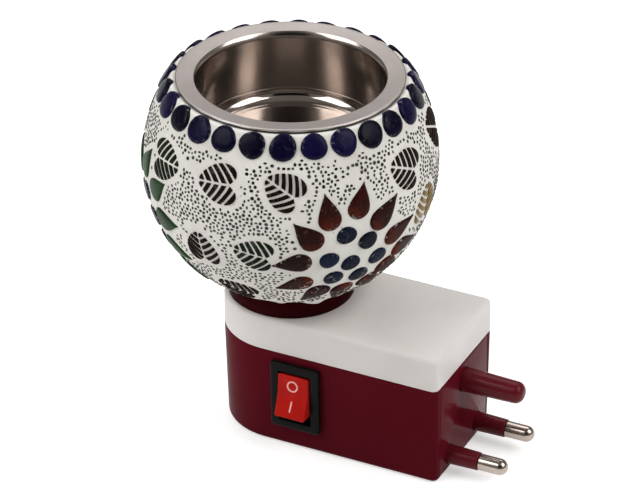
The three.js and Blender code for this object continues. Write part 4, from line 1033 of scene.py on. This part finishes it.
def buildBeadTree():
    tree, given, out = growingTree("scatterBeads", {
        "Object": ["Bead", "Tiles", "Flowers"], "Vector": ["Middle"],
        "Float": ["Bare", "Apart", "Density", "Clear Low", "Clear High", "Field Low", "Field High", "Thin Low",
                  "Thin High", "Size Low", "Size High"]})
    place = tree.nodes.new("GeometryNodeInputPosition").outputs[0]
    field = patches(tree, place, beads["fieldScale"], given["Field Low"], given["Field High"], 1.0)
    thin = addRange(tree, axesOf(tree, place)[2], given["Thin Low"], given["Thin High"])
    sown = addNode(tree, "GeometryNodeDistributePointsOnFaces", {
        "Mesh": given["Geometry"], "Distance Min": given["Apart"], "Density Max": given["Density"],
        "Density Factor": times(tree, field, thin), "Seed": given["Seed"]}, distribute_method="POISSON")
    clear = addRange(tree, addNoise(tree, place, beads["clearScale"]), *beads["clearNoise"], given["Clear Low"],
                     given["Clear High"])
    close = addMath(tree, "MAXIMUM", nearer(tree, given["Tiles"], "FACES", clear),
                    nearer(tree, given["Flowers"], "POINTS", given["Bare"]))
    kept = addNode(tree, "GeometryNodeDeleteGeometry", {"Geometry": sown.outputs["Points"], "Selection": close},
                   domain="POINT").outputs[0]
    facing = lookOut(tree, given["Middle"])
    return plant(tree, given, out, kept, given["Bead"], facing, randomSize(tree, given, 5, 3))


setTree = buildSetTree()
beadTree = buildBeadTree()


def setTiles(name, spots, tile, finish, seed, turnPlay, small, large):
    # spots are directions out of the globe, each with its turn
    cloud = pieceFrom(name, [onGlobe(out) for out, turn in spots])
    cloud.data.attributes.new("turn", "FLOAT", "POINT").data.foreach_set("value", [turn for out, turn in spots])
    grow(cloud, setTree, {"Tile": tile, "Middle": tuple(heart), "Turn Play": turnPlay, "Size Low": small,
                          "Size High": large, "Seed": seed, "Finish": finishes[finish]})
    mount(cloud)
    return cloud


def makeMosaic():
    pieces = []
    count, tall, size = gems["count"], gems["tall"], flowers["dotSize"]
    mouth = degrees(acos(gems["mouth"] / globe["radius"]))
    gemLatitude = mouth - degrees((tall / 2 - gems["over"]) / globe["radius"])
    gem = bentTile("gem", [roundPlan(gems["wide"], tall, gems["sides"])], gems["rise"], pillowed, tall)
    ring = [(onSphere(gems["first"] + 360 * i / count, gemLatitude), 0.0) for i in range(count)]
    pieces.append(setTiles("rimGems", ring, gem, "gemBlue", *tilePlay["gem"]))
    dot = bentTile("dot", [roundPlan(size, size, flowers["dotSides"])], flowers["dotRise"], pillowed, size)
    petal = bentTile("petal", [petalPlan()], flowers["petalRise"], pillowed, flowers["petalLong"])
    spots = []
    for longitude, latitude, turn, finish in flowerSpots:
        spots.append(fromFlower(longitude, latitude, *middlePlay))
        spots += [fromFlower(longitude, latitude, turn + flowers["dotTurn"] - 360 * i / len(dotPlay) + swing,
                             flowers["dotRing"] + out) for i, (swing, out) in enumerate(dotPlay)]
        around = [fromFlower(longitude, latitude, turn - 360 * i / len(petalPlay) + swing,
                             flowers["petalRing"] + out, twist)
                  for i, (swing, out, twist) in enumerate(petalPlay)]
        pieces.append(setTiles(finish + "s", around, petal, finish, *tilePlay["petal"]))
    pieces.append(setTiles("flowerDots", spots, dot, "dotBlue", *tilePlay["dot"]))
    leaf = bentTile("leaf", leafPlans(), leaves["rise"], chipped, leaves["long"])
    for finish, places in leafSpots.items():
        spots = [(onSphere(lon, lat), radians(turn)) for lon, lat, turn in places]
        pieces.append(setTiles(finish + "s", spots, leaf, finish, *tilePlay["leaf"]))
    discard(gem, dot, petal, leaf)
    return pieces


def makeBeads(pieces):
    work = bmesh.new()
    for piece in pieces:
        work.from_mesh(piece.data)
    every = bpy.data.meshes.new("everyTile")
    work.to_mesh(every)
    work.free()
    tiles = placed("everyTile", every)
    size, sunk = beads["size"], beads["sunk"]
    shape = [(0, -sunk), (size * beads["footShare"], -sunk), (size, beads["edge"]), (0, beads["rise"])]
    bead = smooth(turned("bead", shape, beads["sides"]), 60)
    low, high = globe["bottom"] + beads["lowest"], globe["top"] - beads["highest"]
    ground = smooth(turned("beadDots", globeArc(globe["radius"], low, high, 60), 128), 60)
    middles = pieceFrom("flowerMiddles", [onGlobe(onSphere(*spot[:2])) for spot in flowerSpots])
    grow(ground, beadTree, {
        "Bead": bead, "Tiles": tiles, "Flowers": middles, "Middle": tuple(heart), "Bare": beads["bare"] * mm,
        "Apart": beads["apart"] * mm, "Density": beads["density"], "Clear Low": beads["clearLow"] * mm,
        "Clear High": beads["clearHigh"] * mm, "Field Low": beads["fieldLow"], "Field High": beads["fieldHigh"],
        "Thin Low": low * mm, "Thin High": (globe["bottom"] + beads["full"]) * mm, "Size Low": beads["small"],
        "Size High": beads["large"], "Seed": beads["seed"], "Finish": finishes["bead"]})
    discard(bead, tiles, middles)
    mount(ground)
    return ground


mosaic = makeMosaic()
dots = makeBeads(mosaic)
tileFaces = sum(len(piece.data.polygons) for piece in mosaic)
print("mosaic set:", tileFaces, "faces, beads:", len(dots.data.polygons), "faces")


# Screws, all of one head and shank, each row driven by the same tree

screws = {"head": 2.2, "headTall": 1.6, "shank": 1.1, "pitch": 0.9, "thread": 0.24, "slot": 1.3,
          "slotWide": 0.2, "slotDeep": 0.95, "rim": 0.3, "seatShare": 0.97, "plain": 0.7, "threadFrom": 1.0,
          "tip": 0.3, "sides": 24, "seed": 4}
headCrown = [(0.0, 1.0), (0.6, 0.97), (0.84, 0.82), (0.96, 0.55)]  # shares of the head's radius and height
screwRows = [("caseScrews", "case_screw_", 3, (0, 0, 1)), ("collarScrews", "collar_screw_", 3, (0, 0, 1)),
             ("lampScrews", "lamp_screw_", 2, (0, 0, 1)), ("retainerScrews", "retainer_screw_", 2, (1, 0, 0))]


def screwShape(length):
    # points up, with its head's seat at height zero
    head, tall, shank, pitch = (screws[k] for k in ("head", "headTall", "shank", "pitch"))
    root = shank - screws["thread"]
    shape = [(head * out, -tall * up) for out, up in headCrown]
    shape += [(head, -screws["rim"]), (head * screws["seatShare"], 0), (shank, 0), (shank, screws["plain"])]
    height = screws["threadFrom"]
    while height < length - shank - pitch:
        shape += [(root, height), (shank, height + pitch / 2)]
        height += pitch
    shape += [(root, height), (shank * screws["tip"], length), (0, length)]
    screw = smooth(turned("screw", shape, screws["sides"]), 30)
    slot, thin, low, high = screws["slot"], screws["slotWide"], -2 * tall, screws["slotDeep"] - tall
    carve(screw, block(-slot, slot, -thin, thin, low, high), block(-thin, thin, -slot, slot, low, high))
    return smooth(screw, 30, turnOut=False)


def buildScrewTree():
    tree, given, out = growingTree("driveScrews", {"Object": ["Screw"], "Vector": ["Way"], "Float": ["Scale"]})
    facing = faceAlong(tree, {"Vector": given["Way"]}, axis="Z")
    facing = spun(tree, facing, addRandom(tree, 0.0, pi, given["Seed"]))
    return plant(tree, given, out, given["Geometry"], given["Screw"], facing, given["Scale"])


def makeScrews():
    tree = buildScrewTree()
    for name, node, count, way in screwRows:
        held = [node + str(i + 1) for i in range(count)]
        way = Vector(way)
        seats = []
        for label in held:
            low, high = (Vector(corner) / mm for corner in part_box(label))
            along = (high - low).dot(way)
            seats.append((low + high) / 2 + way * (screws["headTall"] - along / 2))
        screw = screwShape(along - screws["headTall"])
        row = pieceFrom(name, seats)
        grow(row, tree, {"Screw": screw, "Way": tuple(way), "Scale": 1.0, "Seed": screws["seed"],
                         "Finish": finishes["screwSteel"]})
        discard(screw)
        mount(row, held)


makeScrews()
print("screws driven:", sum(row[2] for row in screwRows))


# Bulb, seen when the cup is lifted

bulb = {"radius": 11.0, "wall": 0.7, "neck": 6.1, "foot": 51.7, "capTop": 56.7, "top": 85.34, "sides": 72,
        "steps": 12}


def makeBulb():
    walls = []
    middle, foot = bulb["top"] - bulb["radius"], bulb["capTop"]
    for inset in (0, bulb["wall"]):
        neck, radius = bulb["neck"] - inset, bulb["radius"] - inset
        shape = [(neck, bulb["foot"]), (neck, foot)]
        for i in range(1, bulb["steps"]):
            t = i / bulb["steps"]
            shape.append((neck + (radius - neck) * t * t * (3 - 2 * t), foot + (middle - foot) * t))
        walls.append(shape + arc(0, middle, radius, 0, 90, 14)[:-1] + [(0, middle + radius)])
    outline = walls[0] + walls[1][::-1]
    glass = smooth(turned("bulbGlass", outline, bulb["sides"], closed=True), 40, turnOut=False)
    dress(glass, "glass", ["bulb_glass"])


makeBulb()
print("bulb made")


# Pieces inside keep their solids and get their finishes

inside = {
    "black": ["pin_retainer", "bulb_insulator"],
    "resin": ["lamp_plate"],
    "brass": ["lamp_shell", "lamp_contact", "bulb_cap", "plunger", "contact_lever", "common_terminal",
              "lamp_terminal"],
    "screwSteel": ["bulb_tip", "plunger_spring"],
    "glass": ["bulb_stem"],
    "filament": ["bulb_filament"],
    "wire": ["line_wire", "switched_wire", "neutral_wire"],
}
for finish, names in inside.items():
    for name in names:
        for slot in nodes[name].material_slots:
            slot.material = finishes[finish]
print("inside finished:", sum(len(names) for names in inside.values()), "nodes")


# Floor, light and a dark card behind the camera, which the steel reflects; lamps are in metres and watts

floorSizes = {"radius": 4000.0, "drop": 0.1, "glow": 0.48, "colour": (236, 236, 236), "patch": 3.0,
              "patchShade": 0.985, "rough": 0.9, "gloss": 0.1}
card = {"away": 1450.0, "rise": 100.0, "wide": 1100.0, "tall": 850.0, "thick": 6.0, "colour": (9, 9, 9),
        "shade": (6, 6, 6)}
lamps = [
    {"name": "leftBox", "turn": -132, "rise": 42, "away": 1.25, "wide": 0.8, "tall": 0.8, "watts": 9.0},
    {"name": "rightBox", "turn": 4, "rise": 42, "away": 1.25, "wide": 0.8, "tall": 0.8, "watts": 9.0},
    {"name": "backPanel", "turn": 116, "rise": 55, "away": 1.6, "wide": 1.4, "tall": 0.9, "watts": 9.0},
]
lampAim = Vector((0, 0, 0.06))
roomTone = (0.20, 0.19, 0.185)


def makeFloor():
    floor = turned("floor", [(0, -floorSizes["drop"]), (floorSizes["radius"], -floorSizes["drop"])], 64)
    finish, tree, shader = newFinish("paleFloor")
    tone = tint(*floorSizes["colour"])
    shaded = (*[c * floorSizes["patchShade"] for c in tone[:3]], 1)
    seen = tree.nodes.new("ShaderNodeLightPath").outputs
    share = addMath(tree, "MAXIMUM", seen["Is Camera Ray"], seen["Is Glossy Ray"])
    share = addMath(tree, "MAXIMUM", share, seen["Is Transmission Ray"])
    feed(tree, shader, {
        "Base Color": addMix(tree, addNoise(tree, addPlace(tree), floorSizes["patch"]), tone, shaded),
        "Roughness": floorSizes["rough"], "Specular IOR Level": floorSizes["gloss"],
        "Emission Color": (1, 1, 1, 1), "Emission Strength": times(tree, share, floorSizes["glow"])})
    floor.data.materials.append(finish)


def makeCard():
    eye = scene.camera.matrix_world.to_3x3()
    x, y = card["wide"] / 2, card["tall"] / 2
    outline = [(-x, -y), (x, -y), (x, y), (-x, y)]
    dark = piled("darkCard", [(outline, z) for z in (0, card["thick"])])
    place = eye @ Vector((0, 0, card["away"])) + Vector((0, 0, card["rise"]))
    moved(dark, shifted(*place) @ eye.to_4x4())
    dark.data.materials.append(
        grained("darkCloth", card["colour"], card["shade"], (0.8, 0.95), 20, 400, 0.1, gloss=0.1))
    dark.visible_camera = False


def makeLights():
    for lamp in lamps:
        light = bpy.data.lights.new(lamp["name"], "AREA")
        light.shape = "RECTANGLE"
        light.size = lamp["wide"]
        light.size_y = lamp["tall"]
        light.energy = lamp["watts"]
        stand = placed(lamp["name"], light)
        stand.location = lampAim + onSphere(lamp["turn"], lamp["rise"]) * lamp["away"]
        stand.rotation_mode = "QUATERNION"
        stand.rotation_quaternion = (lampAim - stand.location).to_track_quat("-Z", "Y")
    world = bpy.data.worlds.new("studio")
    world.use_nodes = True
    feed(world.node_tree, world.node_tree.nodes["Background"], {"Color": (*roomTone, 1), "Strength": 1.0})
    scene.world = world


makeFloor()
makeCard()
makeLights()
print("studio lit")
